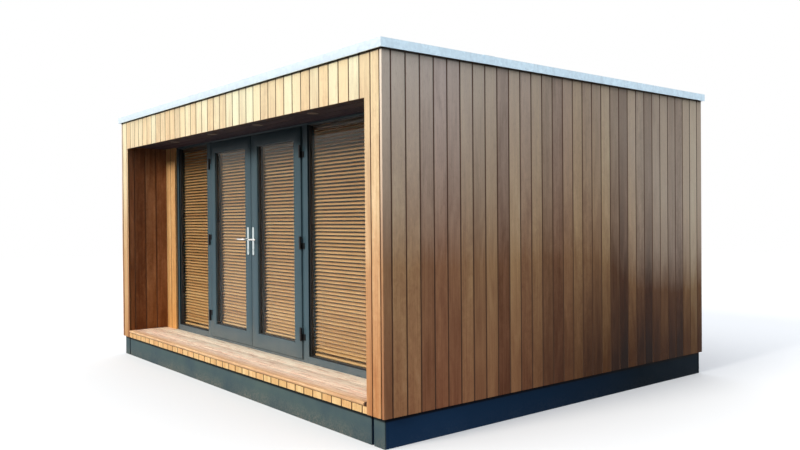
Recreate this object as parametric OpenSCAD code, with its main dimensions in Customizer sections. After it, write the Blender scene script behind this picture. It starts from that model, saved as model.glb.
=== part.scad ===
// Garden office pod: a flat-roofed, timber-clad room with a recessed porch,
// a pair of glazed doors between two fixed lights, and slatted blinds inside.
// Millimetres. +Z is up, the porch faces -Y, and the origin is on the ground
// under the middle of the roof trim.

/* [Body] */
// Width over the cladding, left to right
body_w = 4540; // [4200:10:5200]
// Depth over the cladding, front to back
body_d = 3610; // [3000:10:4200]
// Height of the cladding boards that shows, up to the foot of the roof trim
clad_h = 2250; // [2200:10:2300]
// Thickness of the cladding boards
clad_t = 20; // [16:1:25]
// Thickness of the insulated wall behind the cladding
wall_t = 138; // [100:1:200]

/* [Base] */
// Height of the plinth boards below the cladding
plinth_h = 190; // [160:5:300]
// Thickness of the plinth boards
plinth_t = 22; // [18:1:30]
// Width of the block at each front corner of the plinth
plinth_block_w = 110; // [80:5:150]
// Gap between that block and the front plinth board
plinth_gap = 25; // [0:1:40]
// Height of the bearers that carry the base
bearer_h = 100; // [75:5:120]
// Width of each bearer
bearer_w = 75; // [50:5:100]
// Number of bearers
bearer_count = 5; // [3:1:7]
// Thickness of the deck boards and of the room's floor
deck_t = 25; // [20:1:32]

/* [Porch] */
// Depth of the porch, from the facade to the front wall's boards
porch_d = 415; // [300:5:600]
// Width of each cheek beside the porch
cheek_w = 178; // [178:1:260]
// Height of the deck's top above the foot of the cladding
deck_rise = 70; // [50:5:100]
// Height of the fascia boards over the porch
fascia_h = 280; // [240:5:340]
// How far the fascia hangs below the soffit
fascia_drop = 12; // [8:1:30]
// Distance between the middles of the downlights
downlight_gap = 828; // [600:1:900]
// Distance from the facade to the middles of the downlights
downlight_in = 165; // [120:5:220]
// Radius of a downlight's bezel
downlight_r = 42; // [30:1:50]

/* [Glazing] */
// Width of the glazed screen over its jambs
screen_w = 3720; // [3600:10:3760]
// Distance from the left end of the screen to the left mullion
left_light_w = 745; // [600:5:800]
// Clear width between the two mullions
doorway_w = 1685; // [1500:5:1800]
// Width of each mullion
mullion_w = 80; // [60:5:100]
// Width of the screen's jambs
jamb_w = 52; // [40:1:70]
// Height of the screen's head
head_h = 55; // [45:1:70]
// Height of a fixed light's sill above the deck
light_sill_h = 55; // [45:1:70]
// Height of the threshold above the deck
threshold_h = 20; // [15:1:30]
// Depth of the screen's members, front to back
frame_d = 70; // [60:1:80]
// Thickness of the sealed glass units
glass_t = 24; // [20:1:28]
// Places of the drain slots along the sills, from the middle of the pod
drain_x = [-1700, -1149, -840, 541, 848, 1404];
// Width of a drain slot
drain_w = 28; // [20:1:40]

/* [Doors] */
// Thickness of a door leaf
leaf_t = 60; // [50:1:60]
// Width of the leaf's stiles
stile_w = 110; // [90:1:120]
// Height of the leaf's top rail
top_rail_h = 100; // [80:1:120]
// Height of the leaf's bottom rail
bottom_rail_h = 122; // [100:1:160]
// Gap around each leaf
leaf_gap = 6; // [6:0.5:8]
// How far a leaf stands in front of the screen
leaf_proud = 12; // [8:1:16]
// Height of the lever's spindle above the deck
lever_height = 975; // [900:5:1050]
// Length of a lever's grip, from the spindle
lever_len = 120; // [100:5:130]

/* [Blinds] */
// Distance from one slat to the next
slat_pitch = 29; // [26:0.5:32]
// Width of a slat
slat_w = 35; // [25:1:36]
// Thickness of a slat
slat_t = 2.8; // [2:0.1:4]
// Tilt of the slats, outer edge down
slat_tilt = 28; // [20:1:60]

/* [Roof] */
// Height of the whole building
total_h = 2500; // [2490:1:2520]
// How far the metal trim stands proud of the cladding
trim_out = 25; // [15:1:40]
// Width of the lip that turns in under the trim's face
trim_lip = 20; // [0:1:20]
// Width of the trim's flange on the roof
trim_flange = 110; // [90:5:150]
// Thickness of the trim's metal
trim_t = 3; // [2:0.5:4]
// Thickness of the roof panel
roof_t = 163; // [140:1:180]

/* [Hidden] */
// Plan lines, measured from the middle
half_w = body_w / 2;
half_d = body_d / 2;
wall_x = half_w - clad_t;
wall_y = half_d - clad_t;
room_x = wall_x - wall_t;
room_back_y = wall_y - wall_t;
facade_y = -half_d;
porch_y = facade_y + porch_d;
screen_y = porch_y + clad_t;
screen_back_y = screen_y + frame_d;
room_front_y = screen_y + wall_t;
cheek_x = half_w - cheek_w;
plinth_x = wall_x - plinth_t;
plinth_y = wall_y - plinth_t;

// Levels above the ground
trim_foot = plinth_h + clad_h;
deck_top = plinth_h + deck_rise;
deck_under = deck_top - deck_t;
fascia_under = trim_foot - fascia_h;
soffit_z = fascia_under + fascia_drop;
roof_top = total_h - trim_t;
membrane_t = 4;
ceiling_z = roof_top - membrane_t - roof_t;
fascia_beam_d = 100;
deck_fascia_back = 4;
screen_foot = deck_under;
glass_drop = 2;
glass_top = fascia_under - glass_drop;
screen_top = glass_top + head_h;

// The screen, left to right
screen_left = -screen_w / 2;
screen_right = screen_w / 2;
left_mullion_x = screen_left + left_light_w;
doorway_left = left_mullion_x + mullion_w;
doorway_right = doorway_left + doorway_w;
right_light_x = doorway_right + mullion_w;
stop_w = 15;
stop_d = 16;
glass_set_back = 22;
drain_h = 6;
drain_d = 4;

// The door leaves
leaf_y = screen_y - leaf_proud;
leaf_back_y = leaf_y + leaf_t;
leaf_w = (doorway_w - 3 * leaf_gap) / 2;
leaf_foot = deck_top + threshold_h + leaf_gap;
leaf_top = glass_top - leaf_gap;
leaf_bevel = 5;
pane_foot = leaf_foot + bottom_rail_h;
pane_top = leaf_top - top_rail_h;
pane_w = leaf_w - 2 * stile_w;

// Hinges, with the pins just in front of the leaves
hinge_r = 9;
hinge_pin_r = 4;
hinge_pin_h = 44;
hinge_pin_clear = 0.1;
hinge_bore_h = 47;
hinge_half_h = 50;
hinge_split = 1;
hinge_cap_h = 5;
hinge_flag_w = 34;
hinge_flag_t = 4;
hinge_out = 12;
hinge_y = leaf_y - hinge_out;
hinge_end = 200;
hinge_z = [leaf_foot + hinge_end, (leaf_foot + leaf_top) / 2, leaf_top - hinge_end];

// Handles
spindle_z = deck_top + lever_height;
spindle_inset = 45;
plate_w = 32;
plate_h = 245;
plate_t = 8;
plate_low = 138;
plate_round = 9;
rose_r = 15;
rose_t = 3;
lock_drop = 92;
lock_r = 8.5;
lock_stem_w = 10;
lock_stem_h = 19;
lock_out = 3;
key_slot_w = 2.5;
key_slot_h = 9;
key_slot_d = 6;
neck_r = 8;
neck_clear = 0.5;
neck_hole_r = 13;
lever_out = 48;
lever_bend_r = 16;

// Blinds
blind_back = 26;
blind_y = leaf_back_y + blind_back;
blind_foot_gap = 4;
blind_side_gap = 4;
blind_rise = 45;
cord_w = 3;
headrail_h = 40;
headrail_d = 44;
bracket_w = 20;
blind_rail_h = 16;
slat_end_gap = 12;
cord_inset = 110;

// How far a cut runs past the solid that it cuts, or one solid into the
// other that it is joined to
over = 1;

// A box given by its low and high corners
module slab(low, high) {
    translate(low) cube(high - low);
}

// The same thing on both sides of the middle
module both_sides() {
    children();
    mirror([1, 0, 0]) children();
}

// Base
module floor_bearers() {
    run = 2 * (plinth_y - bearer_w / 2) / (bearer_count - 1);
    color("saddlebrown")
    for (i = [0 : bearer_count - 1]) {
        mid = -plinth_y + bearer_w / 2 + i * run;
        slab([-plinth_x, mid - bearer_w / 2, 0], [plinth_x, mid + bearer_w / 2, bearer_h]);
    }
}

module base_panel() {
    color("burlywood")
    slab([-plinth_x, -plinth_y, bearer_h], [plinth_x, plinth_y, deck_under]);
}

module room_floor() {
    color("tan")
    union() {
        slab([-room_x, room_front_y, deck_under], [room_x, room_back_y, deck_top]);
        slab([screen_left, screen_back_y, deck_under], [screen_right, room_front_y, deck_top]);
    }
}

// The front board stops short of a block at each corner
module plinth_front() {
    block_x = wall_x - plinth_block_w;
    board_x = block_x - plinth_gap;
    color("darkslategray") {
        slab([-board_x, -wall_y, 0], [board_x, -plinth_y, plinth_h]);
        both_sides() slab([block_x, -wall_y, 0], [wall_x, -plinth_y, plinth_h]);
    }
}

module plinth_back() {
    color("darkslategray")
    slab([-wall_x, plinth_y, 0], [wall_x, wall_y, plinth_h]);
}

module plinth_side(left) {
    side = left ? -1 : 1;
    outer = side * wall_x;
    inner = side * plinth_x;
    color("darkslategray")
    slab([min(outer, inner), -plinth_y, 0], [max(outer, inner), plinth_y, plinth_h]);
}

// Walls
module side_wall(left) {
    color("white")
    mirror([left ? 1 : 0, 0, 0])
    slab([room_x, -wall_y, deck_under], [wall_x, wall_y, ceiling_z]);
}

module back_wall() {
    color("white")
    slab([-room_x, room_back_y, deck_under], [room_x, wall_y, ceiling_z]);
}

module front_wall_side(left) {
    color("white")
    mirror([left ? 1 : 0, 0, 0])
    slab([screen_right, screen_y, deck_under], [room_x, room_front_y, screen_top]);
}

module front_wall_head() {
    color("white")
    slab([-room_x, screen_y, screen_top], [room_x, room_front_y, ceiling_z]);
}

module fascia_beam() {
    color("burlywood")
    slab([-room_x, -wall_y, soffit_z + clad_t], [room_x, -wall_y + fascia_beam_d, ceiling_z]);
}

// Cladding, which runs up behind the roof trim to its flange
module side_cladding(left) {
    color("peru")
    mirror([left ? 1 : 0, 0, 0])
    slab([wall_x, -half_d, plinth_h], [half_w, half_d, roof_top]);
}

module back_cladding() {
    color("peru")
    slab([-wall_x, wall_y, plinth_h], [wall_x, half_d, roof_top]);
}

module fascia_cladding() {
    color("burlywood")
    slab([-cheek_x, facade_y, fascia_under], [cheek_x, facade_y + clad_t, roof_top]);
}

module cheek_fronts() {
    color("burlywood")
    both_sides()
    slab([cheek_x, facade_y, plinth_h], [wall_x, facade_y + clad_t, roof_top]);
}

module cheek_sides() {
    color("sienna")
    both_sides()
    slab([cheek_x, facade_y + clad_t, deck_under], [room_x, screen_y, soffit_z + clad_t]);
}

module front_cladding() {
    color("peru")
    both_sides()
    slab([screen_right, porch_y, deck_top], [cheek_x, screen_y, soffit_z]);
}

// Porch
module porch_deck() {
    nose_r = deck_t / 2;
    color("bisque")
    union() {
        slab([-cheek_x, facade_y + nose_r, deck_under], [cheek_x, screen_y, deck_top]);
        translate([-cheek_x, facade_y + nose_r, deck_under + nose_r])
        rotate([0, 90, 0]) cylinder(r = nose_r, h = 2 * cheek_x, $fn = 48);
    }
}

// The short boards under the deck stand back from its nose
module deck_fascia() {
    color("burlywood")
    slab([-cheek_x, facade_y + deck_fascia_back, plinth_h], [cheek_x, facade_y + clad_t, deck_under]);
}

module porch_soffit() {
    color("saddlebrown")
    slab([-cheek_x, facade_y + clad_t, soffit_z], [cheek_x, screen_y, soffit_z + clad_t]);
}

// A bezel with its lens set back in it
module downlight() {
    bezel_h = 4;
    bezel_w = 12;
    lens_back = 2;
    difference() {
        translate([0, 0, -bezel_h]) cylinder(r = downlight_r, h = bezel_h, $fn = 48);
        translate([0, 0, -bezel_h - over]) cylinder(r = downlight_r - bezel_w, h = lens_back + over, $fn = 48);
    }
}

module downlights() {
    color("silver")
    for (i = [-1.5 : 1 : 1.5])
        translate([i * downlight_gap, facade_y + downlight_in, soffit_z]) downlight();
}

// Roof
module roof_panel() {
    color("whitesmoke")
    slab([-wall_x, -wall_y, ceiling_z], [wall_x, wall_y, ceiling_z + roof_t]);
}

module roof_membrane() {
    color("dimgray")
    slab([-wall_x, -wall_y, ceiling_z + roof_t], [wall_x, wall_y, roof_top]);
}

// A folded metal trim along the edge of the roof: a face that hangs outside
// the cladding, a lip turned in at its foot and a flange on the membrane, with
// mitred ends. It is drawn along X, with its outer face at -y.
module roof_trim(run, out_to_middle) {
    face_h = total_h - trim_foot;
    color("lightsteelblue")
    intersection() {
        translate([-run / 2, -out_to_middle, trim_foot])
        rotate([90, 0, 90]) linear_extrude(height = run)
        polygon([[0, 0], [trim_lip, 0], [trim_lip, trim_t], [trim_t, trim_t], [trim_t, face_h - trim_t],
            [trim_flange, face_h - trim_t], [trim_flange, face_h], [0, face_h]]);
        linear_extrude(height = total_h + over)
        polygon([[-run / 2, -out_to_middle], [run / 2, -out_to_middle],
            [run / 2 - trim_flange, -out_to_middle + trim_flange],
            [-run / 2 + trim_flange, -out_to_middle + trim_flange]]);
    }
}

module roof_trim_long() {
    roof_trim(body_w + 2 * trim_out, half_d + trim_out);
}

module roof_trim_short() {
    roof_trim(body_d + 2 * trim_out, half_w + trim_out);
}

// Screen
module screen_head() {
    color("slategray")
    union() {
        slab([screen_left, screen_y, glass_top], [screen_right, screen_back_y, screen_top]);
        slab([doorway_left, screen_back_y - stop_d, glass_top - stop_w],
            [doorway_right, screen_back_y, glass_top]);
    }
}

module screen_jambs() {
    color("slategray")
    both_sides()
    slab([screen_right - jamb_w, screen_y, screen_foot], [screen_right, screen_back_y, glass_top]);
}

// A mullion has a stop behind the leaf, on the side of the doorway
module mullion() {
    foot = deck_top + threshold_h;
    slab([-mullion_w, screen_y, foot], [0, screen_back_y, glass_top]);
    slab([-over, screen_back_y - stop_d, foot + stop_w], [stop_w, screen_back_y, glass_top - stop_w]);
}

module screen_mullions() {
    color("slategray") {
        translate([doorway_left, 0, 0]) mullion();
        translate([doorway_right, 0, 0]) mirror([1, 0, 0]) mullion();
    }
}

// Slots in the front of the sills and the threshold, just above the deck
module drain_slots() {
    for (x = drain_x)
        slab([x - drain_w / 2, screen_y - over, deck_top + drain_h],
            [x + drain_w / 2, screen_y + drain_d, deck_top + 2 * drain_h]);
}

module sidelight_sills() {
    color("slategray")
    difference() {
        union() {
            slab([screen_left + jamb_w, screen_y, screen_foot],
                [left_mullion_x, screen_back_y, deck_top + light_sill_h]);
            slab([right_light_x, screen_y, screen_foot],
                [screen_right - jamb_w, screen_back_y, deck_top + light_sill_h]);
        }
        drain_slots();
    }
}

module door_threshold() {
    color("slategray")
    difference() {
        union() {
            slab([left_mullion_x, screen_y, screen_foot],
                [right_light_x, screen_back_y, deck_top + threshold_h]);
            slab([doorway_left, screen_back_y - stop_d, deck_top],
                [doorway_right, screen_back_y, deck_top + threshold_h + stop_w]);
        }
        drain_slots();
    }
}

module sidelight_glass(from_x, to_x) {
    front = screen_y + glass_set_back;
    color("lightcyan", 0.4)
    slab([from_x, front, deck_top + light_sill_h], [to_x, front + glass_t, glass_top]);
}

// A door leaf, drawn with its hinge edge at x = 0 and its meeting edge at
// +x. The meeting edge is bevelled, so that it clears the other leaf.
module leaf() {
    color("lightslategray")
    difference() {
        translate([0, 0, leaf_foot])
        linear_extrude(height = leaf_top - leaf_foot)
        polygon([[0, leaf_y], [leaf_w, leaf_y], [leaf_w - leaf_bevel, leaf_back_y], [0, leaf_back_y]]);
        slab([stile_w, leaf_y - over, pane_foot], [stile_w + pane_w, leaf_back_y + over, pane_top]);
        leaf_handle_hole();
    }
}

module leaf_handle_hole() {
    translate([leaf_w - spindle_inset, leaf_y - over, spindle_z])
    rotate([-90, 0, 0]) cylinder(r = neck_hole_r, h = leaf_t + 2 * over, $fn = 48);
}

module leaf_glass() {
    front = leaf_y + glass_set_back;
    color("lightcyan", 0.4)
    slab([stile_w, front, pane_foot], [stile_w + pane_w, front + glass_t, pane_top]);
}

// Half a hinge, standing on z = 0: a knuckle on the pin's axis, and a flag
// that starts at x = flag_x and lies against the face at y = face_y
module hinge_half(flag_x, face_y, height) {
    cylinder(r = hinge_r, h = height, $fn = 48);
    translate([flag_x, face_y - hinge_flag_t, 0]) cube([hinge_flag_w, hinge_flag_t, height]);
}

// The fixed half stands on the mullion and carries the pin. A web reaches
// back from its knuckle to the flag.
module frame_hinge() {
    face_y = screen_y - hinge_y;
    union() {
        translate([0, 0, -hinge_half_h]) {
            hinge_half(-hinge_flag_w, face_y, hinge_half_h);
            translate([-hinge_flag_t / 2, 0, 0]) cube([hinge_flag_t, face_y, hinge_half_h]);
            translate([0, 0, -hinge_cap_h]) cylinder(r = hinge_pin_r, h = hinge_cap_h, $fn = 48);
        }
        cylinder(r = hinge_pin_r, h = hinge_pin_h, $fn = 48);
    }
}

// The moving half is bored for the pin
module leaf_hinge() {
    difference() {
        union() {
            translate([0, 0, hinge_split]) hinge_half(0, leaf_y - hinge_y, hinge_half_h - hinge_split);
            translate([0, 0, hinge_half_h]) cylinder(r = hinge_pin_r, h = hinge_cap_h, $fn = 48);
        }
        translate([0, 0, -over])
        cylinder(r = hinge_pin_r + hinge_pin_clear, h = hinge_bore_h, $fn = 48);
    }
}

module hinge_column() {
    for (z = hinge_z) translate([-leaf_gap / 2, hinge_y, z]) children();
}

// A rectangle with round corners that stands on y = 0
module round_rectangle(width, height, corner) {
    translate([-width / 2 + corner, 0]) square([width - 2 * corner, height]);
    translate([-width / 2, corner]) square([width, height - 2 * corner]);
    for (x = [corner - width / 2, width / 2 - corner], y = [corner, height - corner])
        translate([x, y]) circle(r = corner, $fn = 48);
}

// A flat shape stood up against the leaf, from y = 0 out to y = thickness
module stood_up(thickness) {
    translate([0, thickness, 0]) rotate([90, 0, 0]) linear_extrude(height = thickness) children();
}

// One backplate with its rose and lock cylinder, bored for the lever's neck.
// It is drawn about the spindle, with the leaf's face at y = 0.
module handle_plate() {
    front = plate_t + lock_out;
    difference() {
        union() {
            stood_up(plate_t)
            translate([0, -plate_low]) round_rectangle(plate_w, plate_h, plate_round);
            stood_up(plate_t + rose_t) circle(r = rose_r, $fn = 48);
            stood_up(front)
            translate([0, -lock_drop]) {
                circle(r = lock_r, $fn = 48);
                translate([-lock_stem_w / 2, -lock_stem_h]) square([lock_stem_w, lock_stem_h]);
                translate([0, -lock_stem_h]) circle(r = lock_stem_w / 2, $fn = 48);
            }
        }
        translate([0, -over, 0]) rotate([-90, 0, 0])
        cylinder(r = neck_r + neck_clear, h = front + 2 * over, $fn = 48);
        slab([-key_slot_w / 2, front - key_slot_d, -lock_drop - key_slot_h / 2],
            [key_slot_w / 2, front + over, -lock_drop + key_slot_h / 2]);
    }
}

module handle_plates() {
    color("silver") {
        translate([leaf_w - spindle_inset, leaf_back_y, spindle_z]) handle_plate();
        translate([leaf_w - spindle_inset, leaf_y, spindle_z]) rotate([0, 0, 180]) handle_plate();
    }
}

// A grip's elbow and bar, from the end of the neck at y = 0 towards -x
module grip() {
    translate([-lever_bend_r, 0, 0])
    rotate_extrude(angle = 90, $fn = 64)
    translate([lever_bend_r, 0]) circle(r = neck_r, $fn = 32);
    translate([-lever_bend_r, lever_bend_r, 0])
    rotate([0, -90, 0]) cylinder(r = neck_r, h = lever_len - lever_bend_r - neck_r, $fn = 32);
    translate([neck_r - lever_len, lever_bend_r, 0]) sphere(r = neck_r, $fn = 32);
}

// Two levers on one spindle, drawn about the spindle's middle, with both
// grips towards -x
module lever() {
    neck_end = leaf_t / 2 + plate_t + lever_out - lever_bend_r;
    color("silver")
    union() {
        translate([0, -neck_end, 0]) rotate([-90, 0, 0])
        cylinder(r = neck_r, h = 2 * neck_end, $fn = 32);
        translate([0, neck_end, 0]) grip();
        rotate([180, 0, 0]) translate([0, neck_end, 0]) grip();
    }
}

// The spindles, one in each leaf
module on_left_spindle() {
    translate([doorway_left + leaf_gap + leaf_w - spindle_inset, leaf_y + leaf_t / 2, spindle_z]) children();
}

module on_right_spindle() {
    translate([doorway_right - leaf_gap - leaf_w + spindle_inset, leaf_y + leaf_t / 2, spindle_z])
    rotate([0, 0, 180]) children();
}

// A slatted blind: a headrail, tilted slats, ladder cords and a bottom rail.
// On a door, two brackets hold the headrail off the back of the leaf.
module blind(from_x, to_x, foot, top, on_leaf) {
    left = from_x + blind_side_gap;
    width = to_x - from_x - 2 * blind_side_gap;
    slat_top = top - headrail_h - slat_end_gap;
    slats = floor((slat_top - foot - blind_rail_h - slat_end_gap) / slat_pitch);
    color("goldenrod")
    translate([left, blind_y, 0])
    union() {
        translate([0, -headrail_d / 2, top - headrail_h]) cube([width, headrail_d, headrail_h]);
        if (on_leaf)
            for (x = [cord_inset, width - cord_inset])
                translate([x - bracket_w / 2, leaf_back_y - blind_y, top - headrail_h])
                cube([bracket_w, blind_y - leaf_back_y, headrail_h]);
        for (i = [0 : slats])
            translate([0, 0, slat_top - i * slat_pitch])
            rotate([slat_tilt, 0, 0])
            translate([0, -slat_w / 2, -slat_t / 2]) cube([width, slat_w, slat_t]);
        for (x = [cord_inset, width - cord_inset])
            translate([x - cord_w / 2, -cord_w / 2, foot])
            cube([cord_w, cord_w, top - foot - headrail_h + over]);
        translate([0, -slat_w / 2, foot]) cube([width, slat_w, blind_rail_h]);
    }
}

module leaf_blind() {
    blind(stile_w, stile_w + pane_w, pane_foot + blind_foot_gap, pane_top + blind_rise, true);
}

// A leaf's own pieces are drawn at its hinge edge, and put in place here
module on_left_leaf() {
    translate([doorway_left + leaf_gap, 0, 0]) children();
}

module on_right_leaf() {
    translate([doorway_right - leaf_gap, 0, 0]) mirror([1, 0, 0]) children();
}

floor_bearers();
base_panel();
room_floor();
plinth_front();
plinth_back();
plinth_side(true);  // plinth_left
plinth_side(false);  // plinth_right
side_wall(true);  // left_wall
side_wall(false);  // right_wall
back_wall();
front_wall_side(true);  // front_wall_left
front_wall_side(false);  // front_wall_right
front_wall_head();
fascia_beam();
side_cladding(true);  // left_cladding
side_cladding(false);  // right_cladding
back_cladding();
fascia_cladding();
cheek_fronts();
cheek_sides();
front_cladding();
porch_deck();
deck_fascia();
porch_soffit();
downlights();
roof_panel();
roof_membrane();
roof_trim_long();  // roof_trim_front
rotate([0, 0, 180]) roof_trim_long();  // roof_trim_back
rotate([0, 0, -90]) roof_trim_short();  // roof_trim_left
rotate([0, 0, 90]) roof_trim_short();  // roof_trim_right
screen_head();
screen_jambs();
screen_mullions();
sidelight_sills();
door_threshold();
sidelight_glass(screen_left + jamb_w, left_mullion_x);  // left_sidelight_glass
sidelight_glass(right_light_x, screen_right - jamb_w);  // right_sidelight_glass
on_left_leaf() leaf();  // left_door
on_right_leaf() leaf();  // right_door
on_left_leaf() leaf_glass();  // left_door_glass
on_right_leaf() leaf_glass();  // right_door_glass
union() {  // screen_hinges
    color("black") on_left_leaf() hinge_column() frame_hinge();
    color("black") on_right_leaf() hinge_column() frame_hinge();
}
color("black") on_left_leaf() hinge_column() leaf_hinge();  // left_door_hinges
color("black") on_right_leaf() hinge_column() leaf_hinge();  // right_door_hinges
on_left_leaf() handle_plates();  // left_handle_plates
on_right_leaf() handle_plates();  // right_handle_plates
on_left_spindle() lever();  // left_lever
on_right_spindle() lever();  // right_lever
blind(screen_left + jamb_w, left_mullion_x, deck_top + light_sill_h + blind_foot_gap, glass_top, false);  // left_sidelight_blind
blind(right_light_x, screen_right - jamb_w, deck_top + light_sill_h + blind_foot_gap, glass_top, false);  // right_sidelight_blind
on_left_leaf() leaf_blind();  // left_door_blind
on_right_leaf() leaf_blind();  // right_door_blind
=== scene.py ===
# %% [markdown]
# # Dressing a timber garden office
#
# The construction of the pod is already settled: walls, roof, glazed screen, doors and
# hinges come in as a fixed frame, in metres, with +Z up and the porch on the -Y side.
# This lesson gives that frame its real surfaces: every cladding board with its tongue
# and groove, the painted screen with its beads and gaskets, slatted blinds, chrome
# levers and a folded metal roof trim.
#
# Everything is placed from the boxes of the frame's own nodes, so nothing is fitted by
# eye. We load the frame first, because the dressed pod has to stay inside its box.

# %% Load the frame
import math

import bpy
import numpy as np
from mathutils import Matrix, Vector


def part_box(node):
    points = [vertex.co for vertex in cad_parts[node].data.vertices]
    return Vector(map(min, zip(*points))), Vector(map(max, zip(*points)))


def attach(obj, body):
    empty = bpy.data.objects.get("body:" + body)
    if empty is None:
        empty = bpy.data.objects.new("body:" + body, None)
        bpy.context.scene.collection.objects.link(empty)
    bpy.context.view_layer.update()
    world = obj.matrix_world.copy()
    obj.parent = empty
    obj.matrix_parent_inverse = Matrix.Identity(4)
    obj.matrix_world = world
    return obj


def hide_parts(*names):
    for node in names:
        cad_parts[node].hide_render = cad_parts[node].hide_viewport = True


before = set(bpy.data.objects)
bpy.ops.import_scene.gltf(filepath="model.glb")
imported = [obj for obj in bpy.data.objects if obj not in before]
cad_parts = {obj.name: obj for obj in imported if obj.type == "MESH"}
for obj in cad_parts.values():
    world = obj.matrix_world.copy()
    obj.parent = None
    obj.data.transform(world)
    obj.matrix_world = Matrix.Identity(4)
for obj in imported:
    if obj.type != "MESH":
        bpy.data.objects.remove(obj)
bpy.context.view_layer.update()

# %% [markdown]
# ## The camera
#
# A photograph fixes a camera by where it stood, which way it looked and how long its
# lens was. A position and three turns are the plainest way to say that: a heading about
# the vertical, a pitch up or down, and a small roll, because nobody holds a camera quite
# level. Turning about Z first, then tipping, then rolling about the view's own axis keeps
# the three angles independent.

# %% Place the camera
EYE = (5.9418, -4.6277, 1.4054)
HEADING = 51.155
TIP = -0.455
ROLL = -0.450
LENS_MM = 34.556
SENSOR_MM = 36.0


def add_camera():
    """Turns by the heading about Z, then by 90 degrees plus the tip, then by the roll."""
    data = bpy.data.cameras.new("camera")
    data.lens = LENS_MM
    data.sensor_width = SENSOR_MM
    camera = bpy.data.objects.new("camera", data)
    bpy.context.scene.collection.objects.link(camera)
    turned = Matrix.Rotation(math.radians(HEADING), 4, "Z")
    tipped = Matrix.Rotation(math.radians(90 + TIP), 4, "X")
    rolled = Matrix.Rotation(math.radians(ROLL), 4, "Z")
    camera.matrix_world = Matrix.Translation(EYE) @ turned @ tipped @ rolled
    bpy.context.scene.camera = camera


add_camera()
print("camera at", EYE, "with a", LENS_MM, "mm lens")

# %% [markdown]
# ## Writing materials
#
# A finish is a small network of shader nodes. Written out link by link it is hard to
# read, so a few helpers add a node and set its sockets in one line. A socket that is
# given another node's output is linked, and one that is given a number or a colour is
# simply set.

# %% Helpers for shader nodes
SOCKET = bpy.types.NodeSocket
WHITE = (1.0, 1.0, 1.0)


def new_finish(name):
    """An empty material, with its tree and its output."""
    finish = bpy.data.materials.new(name)
    finish.use_nodes = True
    tree = finish.node_tree
    tree.nodes.clear()
    return finish, tree, tree.nodes.new("ShaderNodeOutputMaterial")


def put(tree, kind, sockets=(), **settings):
    """Adds a node, with its settings, and fills its sockets from pairs of key and value."""
    node = tree.nodes.new("ShaderNode" + kind)
    for key, value in settings.items():
        setattr(node, key, value)
    for key, value in dict(sockets).items():
        if isinstance(value, SOCKET):
            tree.links.new(value, node.inputs[key])
        else:
            node.inputs[key].default_value = value
    return node


def maths(tree, operation, *values):
    """One arithmetic step on one, two or three values."""
    return put(tree, "Math", enumerate(values), operation=operation).outputs[0]


def parts(tree, vector):
    """The three numbers of a vector, each as an output of its own."""
    return tuple(put(tree, "SeparateXYZ", {0: vector}).outputs)


def opaque(colour):
    """Adds the fourth number that a colour socket wants. Another node's output stays as it is."""
    return (*colour, 1.0) if isinstance(colour, tuple) else colour


def mixed(tree, share, a, b, blend="MIX"):
    """Colour a with share of b blended in."""
    node = put(tree, "Mix", {0: share, 6: opaque(a), 7: opaque(b)}, data_type="RGBA", blend_type=blend)
    return node.outputs[2]


def spread(tree, value, low, high, to_low=0.0, to_high=1.0):
    """Maps low..high onto to_low..to_high, without going past either end."""
    sockets = {"Value": value, "From Min": low, "From Max": high, "To Min": to_low, "To Max": to_high}
    return put(tree, "MapRange", sockets).outputs[0]


def noise(tree, place, scale, detail=3.0, roughness=0.5, distortion=0.0):
    """Cloudy noise between 0 and 1, with scale in lumps per metre."""
    sockets = {"Vector": place, "Scale": scale, "Detail": detail, "Roughness": roughness}
    sockets["Distortion"] = distortion
    return put(tree, "TexNoise", sockets).outputs[0]


def stretched(tree, place, x, y, z):
    """The place with each axis multiplied, so that a noise on it is drawn out."""
    return put(tree, "VectorMath", {0: place, 1: (x, y, z)}, operation="MULTIPLY").outputs[0]


def ramp(tree, value, stops):
    """A colour read off a list of (position, colour) stops."""
    node = put(tree, "ValToRGB", {0: value})
    elements = node.color_ramp.elements
    while len(elements) < len(stops):
        elements.new(1.0)
    for element, (position, colour) in zip(elements, stops):
        element.position = position
        element.color = opaque(colour)
    return node.outputs[0]


def object_place(tree):
    """The point's place in the piece's own axes, which are the frame's."""
    return put(tree, "TexCoord").outputs["Object"]


def attribute(tree, name):
    """The three numbers that a mesh attribute holds at this point."""
    return put(tree, "Attribute", attribute_name=name).outputs["Vector"]


def bumped(tree, height, depth, strength=1.0):
    """A normal tilted by a height between 0 and 1, with depth in metres for a full step."""
    return put(tree, "Bump", {"Height": height, "Distance": depth, "Strength": strength}).outputs[0]


def principled(tree, output, colour, roughness, normal=None, **plain):
    """The finished surface. Plain numbers go straight onto the shader's own sockets."""
    sockets = {"Base Color": colour, "Roughness": roughness}
    sockets.update({key.replace("_", " "): value for key, value in plain.items()})
    if normal is not None:
        sockets["Normal"] = normal
    shader = put(tree, "BsdfPrincipled", sockets)
    tree.links.new(shader.outputs[0], output.inputs["Surface"])


print("shader helpers ready")

# %% [markdown]
# ## Light and floor
#
# The photograph was taken under a low hazy sun that shines straight into the porch,
# while the long side is in shade. How low it stood can be read off the building: the
# overhang's shadow ends about 0.19 m below the soffit on a wall 0.415 m behind, which is
# an elevation of some 24 degrees, and the shadow's soft edge asks for a sun 18 degrees
# wide. A weaker, higher sun and a pale world fill the rest, at a level where a colour
# renders about as it is written. The floor and the world are white only to rays that come
# from the camera, from a mirror or through glass: they don't throw extra light up at the
# building.

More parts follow.
